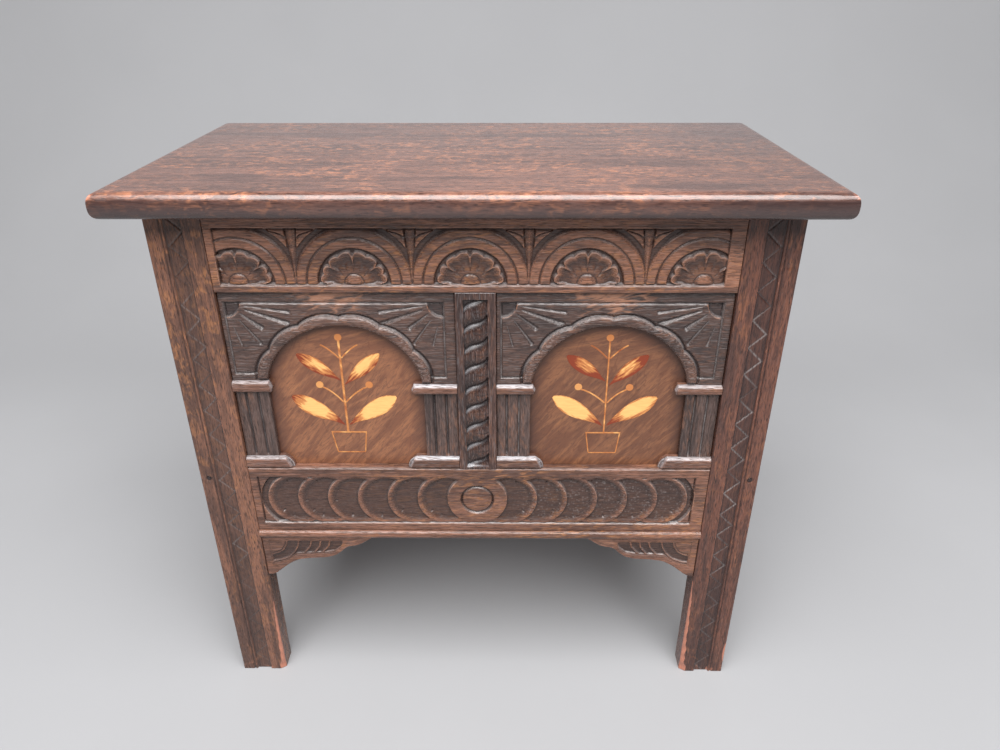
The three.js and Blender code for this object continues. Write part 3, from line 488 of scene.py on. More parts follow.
def lower_rail_cuts(x, z):
    out, up = np.abs(x - scale_shift), z - scale_middle
    last = np.hypot(out - scale_count * scale_step, up)
    depth = between(3.4 * mm, 0.7 * mm, rise(last - scale_radius - 5 * mm, 1.2 * mm))
    for index in range(scale_count, -1, -1):
        radius = np.hypot(out - index * scale_step, up)
        inward = scale_radius - radius
        rim = 0.3 * mm + eased(inward, 1.1 * mm)
        if index == 0:
            ground = rim + vee(radius - roundel_ring, 2.0 * mm, 1.6 * mm)
            ground += 0.7 * mm * (radius / roundel_ring) ** 2 * (radius < roundel_ring)
        else:
            ground = rim + 2.6 * mm * rise(inward - 1.6 * mm, 7 * mm)
        for degree in punch_angles if index else ():
            cosine, sine = math.cos(math.radians(degree)), math.sin(math.radians(degree))
            mark_x, mark_z = out - index * scale_step - punch_reach * cosine, up - punch_reach * sine
            along, beside = mark_x * cosine + mark_z * sine, mark_z * cosine - mark_x * sine
            struck = 0.55 * mm * (1 + 0.8 * math.sin(3 * degree + 5 * index))
            ground += struck * np.clip(1 - (along / (2.2 * mm)) ** 2 - (beside / (1.1 * mm)) ** 2, 0, 1)
        depth = between(depth, ground, rise(inward, 0.7 * mm))
    inside = rise(np.minimum(field_half - np.abs(x - field_middle), scale_top - z), 0.8 * mm)
    ledge = np.maximum(depth, 2.2 * mm) * np.clip((z - scale_floor + 2.2 * mm) / (2 * mm), 0, 1)
    depth = np.where(z < scale_floor, ledge, depth) * inside
    end = np.abs(x - field_middle) - field_half + 1.2 * mm
    depth += vee(end, 1.2 * mm, 1.2 * mm) * rise(np.minimum(z - scale_floor, scale_top - z), 1 * mm)
    edge = np.minimum(rail_half - np.abs(x), z - lower_low.z)
    return depth + eased(edge, 0.8 * mm) + eased(lower_high.z - z, 0.3 * mm)


def rail_bare(x, z):
    """The rail's top arris, rubbed a little."""
    return 0.5 * rise(z - lower_high.z + 1.6 * mm, 1 * mm)


def rail_glints(x, z):
    """Painted glints: pale specks in the punch marks, thick on the right half and few on the left."""
    chance = np.random.default_rng(speck_seed).random(x.shape)
    specks = softened(np.where(chance > 0.972, 1.6, 0.0), 1)
    field = rise(np.minimum(scale_top - z, z - scale_floor) - 3 * mm, 3 * mm)
    field = field * rise(field_half - np.abs(x), 4 * mm)
    return specks * field * (0.25 + 0.75 * rise(x - 25 * mm, 30 * mm))


sill_oak = oak("sill_oak", "x", umber, (0.255, 0.115, 0.073), amber_oak, worked_bare, fleck=0.7)
across, up = grid(lines(-rail_half, rail_half, 0.6 * mm), lines(lower_low.z, lower_high.z, 0.56 * mm))
lower_rail = carve("rail_front_lower", across, up, front, front_inside, lower_rail_cuts, ground=2 * mm,
                   bare=rail_bare, highlight_marks=rail_glints)
belongs(lower_rail, sill_oak, "carcase", "frame_oak", "front_lower_rail")


# Bead moulding
# A thin strip of oak, planed half round on its face, planted under the lower rail.

smooth_angle = math.radians(50)


def block(name, low, high):
    """A squared block of wood that fills the space from low to high."""
    bpy.ops.object.select_all(action="DESELECT")
    bpy.ops.mesh.primitive_cube_add(size=1, location=(low + high) / 2, scale=high - low)
    piece = bpy.context.object
    piece.name = piece.data.name = name
    bpy.ops.object.transform_apply(location=True, rotation=True, scale=True)
    return piece


def plank(name, low, high, edge=0.9 * mm):
    """A sawn board: a block at its place with its arrises taken off and a border marked round
    each face, which holds the rubbed look to the edges."""
    piece = block(name, low, high)
    bpy.ops.object.mode_set(mode="EDIT")
    bpy.ops.mesh.select_all(action="SELECT")
    bpy.ops.mesh.bevel(offset=edge, segments=2, affect="EDGES")
    bpy.ops.mesh.select_mode(type="FACE")
    bpy.ops.mesh.select_all(action="DESELECT")
    bpy.ops.object.mode_set(mode="OBJECT")
    for face in piece.data.polygons:
        face.select = max(abs(part) for part in face.normal) > 0.999
    bpy.ops.object.mode_set(mode="EDIT")
    border = min(4 * mm, 0.35 * (min(high - low) - 2 * edge))
    bpy.ops.mesh.inset(thickness=border, use_individual=True)
    bpy.ops.mesh.select_mode(type="VERT")
    bpy.ops.object.mode_set(mode="OBJECT")
    placed = points_of(piece)
    insets = np.sort(np.minimum(placed - np.array(low), np.array(high) - placed), axis=1)
    set_share(piece, "worn", 0.5 * (insets[:, 1] < 1.05 * edge))
    bpy.ops.object.shade_smooth_by_angle(angle=smooth_angle)
    return piece


def rounded_block(name, low, high, radius, chosen, segments=8, profile=0.5):
    """A block with chosen edges rounded over: chosen(start, end) says which."""
    piece = block(name, low, high)
    bpy.ops.object.mode_set(mode="EDIT")
    bpy.ops.mesh.select_mode(type="EDGE")
    bpy.ops.mesh.select_all(action="DESELECT")
    bpy.ops.object.mode_set(mode="OBJECT")
    for edge in piece.data.edges:
        edge.select = chosen(*(piece.data.vertices[v].co for v in edge.vertices))
    bpy.ops.object.mode_set(mode="EDIT")
    bpy.ops.mesh.bevel(
        offset=radius, segments=segments, affect="EDGES", clamp_overlap=True, profile=profile)
    bpy.ops.mesh.select_all(action="SELECT")
    bpy.ops.mesh.remove_doubles(threshold=0.08 * mm)
    bpy.ops.mesh.select_mode(type="VERT")
    bpy.ops.object.mode_set(mode="OBJECT")
    return piece


def cut_across(piece, axis, places):
    """Lines marked straight round the piece at these places on one axis."""
    normal = Vector((axis == "x", axis == "y", axis == "z"))
    bpy.ops.object.mode_set(mode="EDIT")
    for place in places:
        bpy.ops.mesh.select_all(action="SELECT")
        bpy.ops.mesh.bisect(plane_co=normal * place, plane_no=normal)
    bpy.ops.object.mode_set(mode="OBJECT")


bead_low, bead_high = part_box("bead_moulding")


def along_front(start, end):
    return start.y == end.y and start.z == end.z and abs(start.y - bead_low.y) < 0.1 * mm


bead = rounded_block("bead", bead_low, bead_high, 0.495 * (bead_high.z - bead_low.z), along_front)
cut_across(bead, "x", np.linspace(-0.96, 0.96, 25) * clear_half)
placed = points_of(bead)
on_front = placed[:, 1] < front + 1 * mm
set_share(bead, "worn", 0.2 * rise(placed[:, 2] - bead_low.z - 5 * mm, 3 * mm) * on_front)
bpy.ops.object.shade_smooth_by_angle(angle=smooth_angle)
belongs(bead, sill_oak, "carcase", "frame_oak", "bead_moulding")


# Muntin
# The short upright between the two panels. A rope is carved down it: strands that climb to the
# right, each round at its upper left and drawn to a crisp valley at its lower right.

carved_dark = (0.06, 0.038, 0.033)
carved_honey = (0.28, 0.12, 0.065)
carved_bare = (0.3, 0.16, 0.115)
# Its pale tone is the painted highlight on the strands.
rope_oak = oak("rope_oak", "z", (0.04, 0.022, 0.019), (0.115, 0.057, 0.043), (0.2, 0.085, 0.045),
               carved_bare, highlight_and_wax=(0.6, 0.6, 0.63))
opening_low, opening_high = lower_high.z, top_rail_low
muntin_half = 17 * mm
rope_half = 10 * mm
rope_pitch = 19.6 * mm
rope_start = opening_low + 8.4 * mm
rope_climb = 6.5 * mm


def muntin_cuts(x, z):
    out = np.clip(x / rope_half, -1, 1)
    climb = rope_climb * (0.42 * out + 0.58 * out**3)
    turns = (z - rope_start - climb) / rope_pitch
    crest = 0.5 - 0.24 * out
    below = np.clip(1 - turns % 1 / crest, 0, 1)
    above = np.clip((turns % 1 - crest) / (1 - crest), 0, 1)
    strand = 0.3 * mm + 3.3 * mm * np.maximum(below, above) ** 2.3 + 0.8 * mm * out**4
    from_valley = rope_pitch * (turns % 1 - 0.55 + 0.25 * out)
    strand += vee(from_valley, 0.5 * mm, 1.2 * mm) * rise(out + 0.4, 0.5)
    inside = rise(rope_half + 0.4 * mm - np.abs(x), 0.8 * mm)
    inside *= rise(opening_high - 6 * mm - z, 0.8 * mm) * rise(z - opening_low - 2.4 * mm, 2.4 * mm)
    edge = np.minimum(muntin_half - np.abs(x), np.minimum(z - opening_low, opening_high - z))
    return strand * inside + eased(edge, 0.9 * mm)


across, up = grid(
    lines(-muntin_half, muntin_half, 0.5 * mm),
    lines(opening_low + joint_gap, opening_high - joint_gap, 0.55 * mm),
)
muntin = carve("muntin_rope", across, up, front, front_inside, muntin_cuts)
belongs(muntin, rope_oak, "carcase", "carved_oak", "muntin")


# Back stiles, rails and panel
# The back is framed as the front is, in plain boards, and closed by one thin panel.

plain_upright = oak("plain_upright", "z", umber, chestnut, amber_oak, bare_oak, polish=0.35)
plain_flat = oak("plain_flat", "x", umber, chestnut, amber_oak, bare_oak, polish=0.35)
inside_oak = oak("inside_oak", "x", (0.12, 0.06, 0.035), (0.26, 0.14, 0.075),
                 (0.36, 0.2, 0.1), (0.45, 0.27, 0.15), polish=0.55)


def shrunk(low, high):
    """The same space, less the joint gap on every side."""
    gap = Vector((joint_gap,) * 3)
    return low + gap, high - gap


for word in sides:
    low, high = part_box(f"back_stile_{word}")
    belongs(plank(f"stile_back_{word}", low, high, 1.2 * mm), plain_upright, "carcase",
            "frame_oak", f"back_stile_{word}")
back_inside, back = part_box("back_stile_left")[0].y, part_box("back_stile_left")[1].y
for word in ("top", "lower"):
    low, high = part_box(f"back_{word}_rail")
    low, high = Vector((-rail_half, back_inside, low.z)), Vector((rail_half, back, high.z))
    belongs(plank(f"rail_back_{word}", low, high), plain_flat, "carcase", "frame_oak",
            f"back_{word}_rail")
low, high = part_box("back_panel")
low, high = (Vector((side * rail_half, edge.y, level))
             for side, edge, level in ((-1, low, opening_low), (1, high, opening_high)))
belongs(plank("panel_back", *shrunk(low, high), 0.5 * mm), inside_oak, "carcase",
        "inside_oak", "back_panel")


# Sides and pegs
# Each side has two rails and a plain panel, let into the backs of the stiles. Pegs driven
# through the stiles hold the rails, and their dark end grain shows on the front.

side_gap = Vector((0, joint_gap, 0))
peg_sunk = {"upper": 0, "lower": 0.9}
plain_side = oak("plain_side", "y", umber, chestnut, amber_oak, bare_oak, polish=0.42)


def turned(name, radius, length, middle, axis, facets):
    """A plain rod turned to this radius, lying along the x or the y axis."""
    lying = {"x": (0, math.pi / 2, 0), "y": (math.pi / 2, 0, 0)}[axis]
    bpy.ops.object.select_all(action="DESELECT")
    bpy.ops.mesh.primitive_cylinder_add(
        vertices=facets, radius=radius, depth=length, location=middle, rotation=lying)
    piece = bpy.context.object
    piece.name = piece.data.name = name
    bpy.ops.object.transform_apply(location=True, rotation=True, scale=True)
    return piece


def rimmed(piece, edge):
    """Takes off the sharp rims of a turned piece."""
    rim = piece.modifiers.new("rim", "BEVEL")
    rim.width, rim.segments, rim.limit_method, rim.angle_limit = edge, 2, "ANGLE", math.radians(60)
    bpy.ops.object.modifier_apply(modifier="rim")
    bpy.ops.object.shade_smooth_by_angle(angle=smooth_angle)
    return piece


for word in sides:
    for level in ("top", "lower"):
        low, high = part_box(f"side_{level}_rail_{word}")
        low, high = Vector((low.x, front_inside, low.z)), Vector((high.x, back_inside, high.z))
        rail = plank(f"rail_side_{level}_{word}", low + side_gap, high - side_gap)
        belongs(rail, plain_side, "carcase", "frame_oak", f"side_{level}_rail_{word}")
    low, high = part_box(f"side_panel_{word}")
    low = Vector((low.x, front_inside, opening_low))
    high = Vector((high.x, back_inside, opening_high))
    belongs(plank(f"panel_side_{word}", *shrunk(low, high), 0.5 * mm), plain_upright, "carcase",
            "frame_oak", f"side_panel_{word}")
    for level, stain_and_shade in peg_sunk.items():
        low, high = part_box(f"peg_{word}_{level}")
        middle = (low + high) / 2 + Vector((0, 0.2 * mm, 0))
        length = high.y - low.y - 0.4 * mm
        peg = turned(f"peg_{word}_{level}_oak", (high.x - low.x) / 2, length, middle, "y", 24)
        rimmed(peg, 0.5 * mm)
        set_share(peg, "stain_and_shade", [stain_and_shade] * len(peg.data.vertices))
        belongs(peg, rope_oak, "carcase", "carved_oak", f"peg_{word}_{level}")


# Floor boards
# Two boards laid side by side in grooves of the lower rails, left clean inside the chest.

floor_middle = (front_inside + back_inside) / 2
side_inside = min(abs(corner.x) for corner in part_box("side_top_rail_left"))
for word, start, end in (
    ("front", front_inside, floor_middle),
    ("back", floor_middle, back_inside),
):
    low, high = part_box(f"floor_board_{word}")
    low, high = Vector((-side_inside, start, low.z)), Vector((side_inside, end, high.z))
    belongs(plank(f"floor_{word}", *shrunk(low, high)), inside_oak, "carcase", "inside_oak",
            f"floor_board_{word}")


# Inlaid panels
# Two flat panels of a warm figured wood, set in grooves behind the arcade. A plant in a pot is
# let in flush, in pale veneer whose tips and bases were scorched in hot sand for shading.

panel_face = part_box("inlaid_panel_left")[0].y
panel_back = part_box("inlaid_panel_left")[1].y
panel_centre = (clear_half + muntin_half) / 2
panel_half = 98 * mm
inlay_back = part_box("plant_inlay_left")[1].y
arch_centre = opening_low + 77 * mm


def veneer(name, colour, amber, shade):
    """Pale veneer with a fine silky grain, browned and then charred where it was scorched."""
    material = new_finish(name)
    fibre = cloud(material, (90, 700, 700), 4)
    along = times(material, share_of(material, "along"), 110.0)
    beside = times(material, share_of(material, "beside"), 620.0)
    way = node(material, "CombineXYZ", {0: along, 1: beside}).outputs[0]
    flame = node(material, "TexNoise", {"Vector": way, "Scale": 1.0, "Detail": 3.0}).outputs[0]
    silk = (0.85 * colour[0], 0.7 * colour[1], 0.6 * colour[2])
    tone = mixed(material, step(material, fibre, 0.42, 0.6, 0.3), colour, silk)
    scorch = share_of(material, "scorch")
    licked = times(material, step(material, flame, 0.3, 0.7, 0.6), step(material, scorch, 0.0, 0.5))
    edge = added(material, scorch, licked)
    tone = mixed(material, step(material, edge, 0.4, 0.85), tone, amber)
    tone = mixed(material, step(material, edge, 0.85, 1.3), tone, shade)
    rough = added(material, step(material, fibre, 0.0, 1.0, 0.3), 0.32)
    finished(material, tone, rough, fibre, 0.2, 0.1 * mm)
    return material


def figured_wood(name, depth):
    """Warm wood with a slanting dark figure that levels out towards the top of the panel, and
    darker along the arch, partly with dirt and partly with painted shade from the arch board.
    depth deepens all its colours alike."""
    def toned(*colour):
        return tuple(depth * part for part in colour)

    material = new_finish(name)
    place = node(material, "SeparateXYZ", {0: node(material, "TexCoord").outputs["Object"]}).outputs
    upper = step(material, place[2], 0.345, 0.395)
    parts = []
    for across, along, detail, distortion in ((75, 14, 5, 2.6), (800, 70, 4, 0.8), (1900, 200, 2, 0.0)):
        low, high = (cloud(material, (along, 30, across), detail, (0, math.radians(angle), 0), distortion)
                     for angle in (50, 14))
        parts.append(node(material, "Mix", {0: upper, 2: low, 3: high}).outputs[0])
    wave, streak, pore = parts
    brown, warm = toned(0.2, 0.08, 0.043), toned(0.31, 0.13, 0.064)
    tone = mixed(material, step(material, wave, 0.38, 0.62), brown, warm)
    tone = mixed(material, step(material, wave, 0.6, 0.74, 0.6), tone, toned(0.42, 0.18, 0.078))
    tone = mixed(material, step(material, streak, 0.5, 0.36, 0.5), tone, toned(0.16, 0.068, 0.042))
    growth = cloud(material, (14, 10, 52), 2, (0, math.radians(52), 0), 1.2, (4, 2, 9))
    ring = worked_out(material, "ABSOLUTE", worked_out(material, "SUBTRACT", growth, 0.5))
    tone = mixed(material, step(material, ring, 0.014, 0.004, 0.55), tone, toned(0.15, 0.055, 0.03))
    tone = mixed(material, step(material, pore, 0.46, 0.34, 0.6), tone, toned(0.1, 0.048, 0.032))
    # Darker in a band along the arch: dirt and painted shade from the arch board.
    out = worked_out(material, "SUBTRACT", worked_out(material, "ABSOLUTE", place[0]), panel_centre)
    up = worked_out(material, "SUBTRACT", place[2], arch_centre)
    up = worked_out(material, "MAXIMUM", up, 0.0)
    reach = node(material, "CombineXYZ", {0: out, 1: up}).outputs[0]
    reach = node(material, "VectorMath", {0: reach}, operation="LENGTH").outputs[1]
    tone = mixed(material, step(material, reach, 52 * mm, 69 * mm, 0.7), tone, toned(0.07, 0.03, 0.022))
    rough = added(material, step(material, streak, 0.2, 0.8, 0.2), 0.3)
    finished(material, tone, rough, pore, 0.3, 0.1 * mm)
    return material


def flat_cut(x, z, **shares):
    """One piece of veneer, with shares such as its scorched part given at each point."""
    piece = carve("veneer", x, z, panel_face, inlay_back, lambda a, b: np.zeros_like(a))
    row, column = np.divmod(np.arange(x.size), x.shape[0])
    for share, given in shares.items():
        values = np.zeros(len(piece.data.vertices), np.float32)
        values[:x.size] = given[column, row]
        set_share(piece, share, values)
    return piece


def leaf(base, tip, upper, lower, scorched):
    """A leaf from base to tip. upper and lower give its half widths along its length, and
    scorched(along, across) the scorched share."""
    along = np.linspace(0, 1, 25)
    across = np.linspace(-1, 1, 9)
    reach = np.array(tip) - np.array(base)
    length = np.hypot(*reach)
    way = reach / length
    side = np.array([-way[1], way[0]]) * (1 if reach[0] > 0 else -1)
    stations = np.linspace(0, 1, len(upper))
    top = np.interp(along, stations, upper) * mm
    bottom = np.interp(along, stations, lower) * mm
    share, spread = grid(along, across)
    width = np.where(spread > 0, spread * top[:, None], spread * bottom[:, None])
    x = base[0] + share * reach[0] + width * side[0]
    z = base[1] + share * reach[1] + width * side[1]
    if reach[0] < 0:
        x, z, share, spread, width = x[::-1], z[::-1], share[::-1], spread[::-1], width[::-1]
    from_start = share * length + 7 * base[0] + tip[1]
    return flat_cut(x, z, scorch=scorched(share, spread), along=from_start, beside=width)


def strip(points, width, scorch):
    """A strip of stringing along a bent line."""
    line = np.array(points)
    run = np.gradient(line, axis=0)
    run /= np.hypot(run[:, 0], run[:, 1])[:, None]
    across = np.linspace(-0.5, 0.5, 3) * width
    x = line[:, 0][:, None] - run[:, 1][:, None] * across
    z = line[:, 1][:, None] + run[:, 0][:, None] * across
    return flat_cut(x, z, scorch=np.full(x.shape, scorch), along=x + z, beside=0 * x)


def disc(centre, radius, scorch):
    """A round cut of veneer."""
    middle = (centre[0], (panel_face + inlay_back) / 2, centre[1])
    piece = turned("veneer", radius, inlay_back - panel_face, middle, "y", 24)
    set_share(piece, "scorch", [scorch] * len(piece.data.vertices))
    return piece


def joined(name, pieces):
    bpy.ops.object.select_all(action="DESELECT")
    for piece in pieces:
        piece.select_set(True)
    bpy.context.view_layer.objects.active = pieces[0]
    bpy.ops.object.join()
    pieces[0].name = pieces[0].data.name = name
    return pieces[0]


def bowed(start, end, lift, count=8):
    """Points of a shallow curve from start to end, raised by lift in the middle."""
    share = np.linspace(0, 1, count)[:, None]
    line = between(np.array(start), np.array(end), share)
    line[:, 1] += lift * 4 * share[:, 0] * (1 - share[:, 0])
    return line


def scorched(tip, base, whole):
    """Scorching of a leaf at its tip, its base, along its underside and at its edges."""
    return lambda along, across: whole * (1.1 - 0.5 * across) + np.maximum.reduce([
        1.3 * base * (1 - along / 0.42), 1.4 * tip * (along - 0.66) / 0.3,
        (0.6 + whole) * np.clip(-across - 0.3, 0, 1), 0.5 * np.abs(across) ** 5,
    ])


pale_inlay = veneer("pale_inlay", (0.95, 0.52, 0.18), (0.55, 0.2, 0.06), (0.23, 0.036, 0.011))
figured = {"left": figured_wood("figured_panel_left", 0.97),
           "right": figured_wood("figured_panel_right", 0.78)}
# Millimetres across from the middle of the plant and up from the foot of the panel. A leaf has
# the place of its tip and how far its tip, its base and the whole of it are scorched.
plants = {
    "left": {
        "middle": -118.2, "stem": 1.9, "top_scorch": 0.5, "pot": (-15.4, 16.8, -11.4, 14),
        "berries": ((-20.6, 83.6), (23, 83.6)),
        "leaves": ((-46.5, 72, 0.6, 1.1, 0.05), (46, 71.5, 0.0, 0.9, 0.0),
                   (-37.5, 113.5, 0.55, 0.85, 0.3), (34, 114, 0.1, 0.8, 0.22)),
    },
    "right": {
        "middle": 114, "stem": 1.35, "top_scorch": 0.62, "pot": (-16.4, 15.2, -13, 12.2),
        "berries": ((-25, 82), (20, 81.6)),
        "leaves": ((-47, 72, 0.0, 0.9, 0.0), (45, 71.5, 0.2, 1.0, 0.1),
                   (-36, 112.5, 0.8, 1.3, 0.52), (34, 113, 0.7, 0.8, 0.42)),
    },
}
lip_level, foot_level = 34.6, 13
stem_levels = np.linspace(35.4, 126.4, 12)
bud_level = 129.6
lower_shape = ((0.3, 2.6, 4.6, 6.2, 7.6, 8.4, 8.4, 7.6, 5.6, 1.2),
               (0.3, 1.2, 2.8, 5, 6.8, 7.8, 8.2, 7.4, 5.2, 1.2))
upper_shape = ((0.3, 1.4, 3.2, 4.8, 6, 6.6, 6.4, 5.6, 4, 1),
               (0.3, 1.2, 2.8, 4.4, 5.6, 6.2, 6.2, 5.6, 4, 1))

for word, side in sides.items():
    plan = plants[word]

    def at(across, up):
        return plan["middle"] * mm + across * mm, opening_low + up * mm

    lip_left, lip_right, foot_left, foot_right = plan["pot"]
    lip = [at(across, lip_level) for across in np.linspace(lip_left, lip_right, 5)]
    foot = [at(across, foot_level) for across in np.linspace(foot_left, foot_right, 5)]
    pieces = [
        strip([at(0, up) for up in stem_levels], plan["stem"] * mm, 0.53),
        disc(at(0, bud_level), 3.2 * mm, 0.55),
        strip(lip, 1.3 * mm, 0.5),
        strip(foot, 1 * mm, 0.56),
    ]
    for start, end in ((lip_left + 0.6, foot_left), (lip_right - 0.6, foot_right)):
        side_line = bowed(at(start, lip_level - 0.9), at(end, foot_level + 0.7), 0, 4)
        pieces.append(strip(side_line, 1 * mm, 0.56))
    for index, (across, up) in enumerate(plan["berries"]):
        half = math.copysign(1, across)
        berry_twig = bowed(at(1.2 * half, 66), at(across - 2.6 * half, up - 2.4), 1.8 * mm)
        top_twig = bowed(at(1.2 * half, 110), at(16 * half, 122.6), 1.2 * mm)
        pieces += [
            strip(berry_twig, 1.3 * mm, 0.5),
            disc(at(across, up), 3.3 * mm, 0.4 + 0.14 * index),
            strip(top_twig, 1.2 * mm, plan["top_scorch"]),
        ]
    for index, (across, up, tip, base, whole) in enumerate(plan["leaves"]):
        half = math.copysign(1, across)
        start = at(2.2 * half, 42.5) if index < 2 else at(1.9 * half, 84 if half > 0 else 88)
        shape = lower_shape if index < 2 else upper_shape
        pieces.append(leaf(start, at(across, up), *shape, scorched(tip, base, whole)))
    plant = joined(f"inlay_plant_{word}", pieces)
    pocket = plant.copy()
    pocket.data = plant.data.copy()
    bpy.context.collection.objects.link(pocket)
    bpy.ops.object.select_all(action="DESELECT")
    pocket.select_set(True)
    bpy.context.view_layer.objects.active = pocket
    bpy.ops.object.mode_set(mode="EDIT")
    bpy.ops.mesh.select_all(action="SELECT")
    bpy.ops.transform.shrink_fatten(value=0.12 * mm)
    bpy.ops.object.mode_set(mode="OBJECT")
    low = Vector((side * panel_centre - panel_half, panel_face, opening_low))
    high = Vector((side * panel_centre + panel_half, panel_back, opening_high))
    panel = plank(f"panel_inlaid_{word}", *shrunk(low, high), 0.3 * mm)
    fitted = panel.modifiers.new("pocket", "BOOLEAN")
    fitted.operation, fitted.object, fitted.solver, fitted.use_self = "DIFFERENCE", pocket, "EXACT", True
    bpy.ops.object.modifier_apply(modifier="pocket")
    bpy.ops.object.shade_flat()
    bpy.data.objects.remove(pocket)
    belongs(panel, figured[word], "carcase", "panel_walnut", f"inlaid_panel_{word}")
    belongs(plant, pale_inlay, "carcase", "light_inlay", f"plant_inlay_{word}")


# Arcade: bases, pilasters and capitals
# Small carved pieces glued on in front of each panel. Capitals and bases are bars rounded above
# and below and returned at their inner ends, and each pilaster is grooved into three reeds.

planted_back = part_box("pilaster_left_outer")[1].y
pilaster_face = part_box("pilaster_left_outer")[0].y
reed_grooves = (0.3, 0.66)
reed_depth = 2 * mm
longer = {("capital", -1): -2.4, ("capital", 1): -4, ("base", -1): 0, ("base", 1): -4.6}
raised = {"left_outer": (1.8 * mm, 3.5 * mm)}
underhang = 1.2 * mm
bar_depth = 4.4 * mm
top_round, under_round, end_round, plate_round = 4 * mm, 3.2 * mm, 2.4 * mm, 12 * mm
end_shapes = {"capital": ((0, 0.42, 1), (1.4, 0, 2.4)), "base": ((0, 0.85, 1), (1.2, 5.6, 8))}
# How strong the painted highlight in the grooves is on each side.
groove_highlight = {"left": 0.35, "right": 0.8}
# How strong the painted highlight is on each moulding.
shine = {("left", "outer"): 0.6, ("left", "inner"): 1.0, ("right", "inner"): 0.95,
         ("right", "outer"): 0.7}
carved_upright = oak("carved_upright", "z", (0.05, 0.031, 0.027), (0.11, 0.067, 0.056), carved_honey,
                     carved_bare, tooth=0.3 * mm)
# Its pale bluish tone is the painted highlight on the moulding tops.
moulded_oak = oak("moulded_oak", "x", umber, (0.2, 0.094, 0.064), amber_oak, (0.25, 0.115, 0.075),
                  fleck=0.4, highlight_and_wax=(0.7, 0.71, 0.75))


def pilaster_cuts(low, high):
    def cuts(x, z):
        depth = eased(np.minimum(x - low.x, high.x - x), 0.8 * mm)
        for share in reed_grooves:
            beside = np.abs(x - between(low.x, high.x, share))
            spread = 1.6 * mm + 1.1 * mm * np.clip(1 - (z - low.z) / (5 * mm), 0, 1)
            runs_out = np.clip((z - low.z) / (3.4 * mm), 0, 1)
            depth += reed_depth * np.clip(1 - beside / spread, 0, 1) * runs_out
        return depth
    return cuts


def reed_highlight(low, high, most):
    """A painted highlight along the bottoms of the grooves."""
    def highlight_marks(x, z):
        nearest = np.minimum.reduce(
            [np.abs(x - between(low.x, high.x, share)) for share in reed_grooves])
        return most * np.clip(1.4 - nearest / (0.6 * mm), 0, 1) * (0.8 + 0.2 * np.sin(z / (7 * mm)))
    return highlight_marks


def nose_cuts(bar_end, outline, half):
    """A bar rounded over at its top and underneath and returned at its end. Whatever lies
    between the end of the bar and the outline is a thinner plate behind it."""
    def cuts(x, z):
        above = np.clip((z - z.max()) / top_round + 1, 0, 1)
        below = np.clip((z.min() - z) / under_round + 1, 0, 1)
        end = np.clip(1 - half * (x - bar_end[None, :]) / end_round, 0, 1)
        rounded = rounding(np.maximum.reduce([above, below, end]))
        return bar_depth * rounded + eased(half * (x - outline[None, :]), 0.9 * mm)
    return cuts


def end_highlight(outline, half):
    """A painted highlight along the outline of the inner end."""
    return lambda x, z: 0.6 * np.clip(1.4 - half * (x - outline[None, :]) / (0.9 * mm), 0, 1)


for word, side in sides.items():
    for where in ("outer", "inner"):
        lift = raised.get(f"{word}_{where}", (0, 0))
        low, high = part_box(f"pilaster_{word}_{where}")
        high.z += lift[0] - underhang
        across, up = grid(lines(low.x, high.x, 0.45 * mm), lines(low.z, high.z, 1.4 * mm))
        pilaster = carve(f"reeded_pilaster_{word}_{where}", across, up, pilaster_face, planted_back,
                         pilaster_cuts(low, high), ground=2 * mm,
                         highlight_marks=reed_highlight(low, high, groove_highlight[word]))
        belongs(pilaster, carved_upright, "carcase", "carved_oak", f"pilaster_{word}_{where}")

        for kind in ("capital", "base"):
            low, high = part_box(f"{kind}_{word}_{where}")
            if kind == "capital":
                low.z, high.z = low.z + lift[0] - underhang, high.z + lift[1]
            half = -1 if (side < 0) == (where == "outer") else 1
            inner_end, outer_end = (low.x, high.x) if half > 0 else (high.x, low.x)
            inner_end += longer[kind, half] * mm
            up = lines(low.z, high.z, 0.4 * mm)
            share = (up - low.z) / (high.z - low.z)
            inset = np.interp(share, *end_shapes[kind]) * mm
            bar_end = inner_end + half * inset
            if kind == "base":
                inset = np.minimum(inset, plate_round * rounding(share))
            start = inner_end + half * inset
            along = lines(0, abs(outer_end - inner_end), 0.55 * mm) / abs(outer_end - inner_end)
            x = between(start[None, :], outer_end, along[:, None])
            z = np.repeat(up[None, :], len(along), axis=0)
            order = slice(None) if half > 0 else slice(None, None, -1)
            moulding = carve(f"{kind}_moulding_{word}_{where}", x[order], z, front, planted_back,
                             nose_cuts(bar_end, start, half), ground=9 * mm,
                             highlight_share=shine[word, where], highlight_marks=end_highlight(start, half))
            belongs(moulding, moulded_oak, "carcase", "carved_oak", f"{kind}_{word}_{where}")


# Arch boards
# One board over each panel, cut out to a round arch. A roll with six lobes stands round the
# arch, and fans of V cuts spread from a sunk quarter circle in each upper corner.

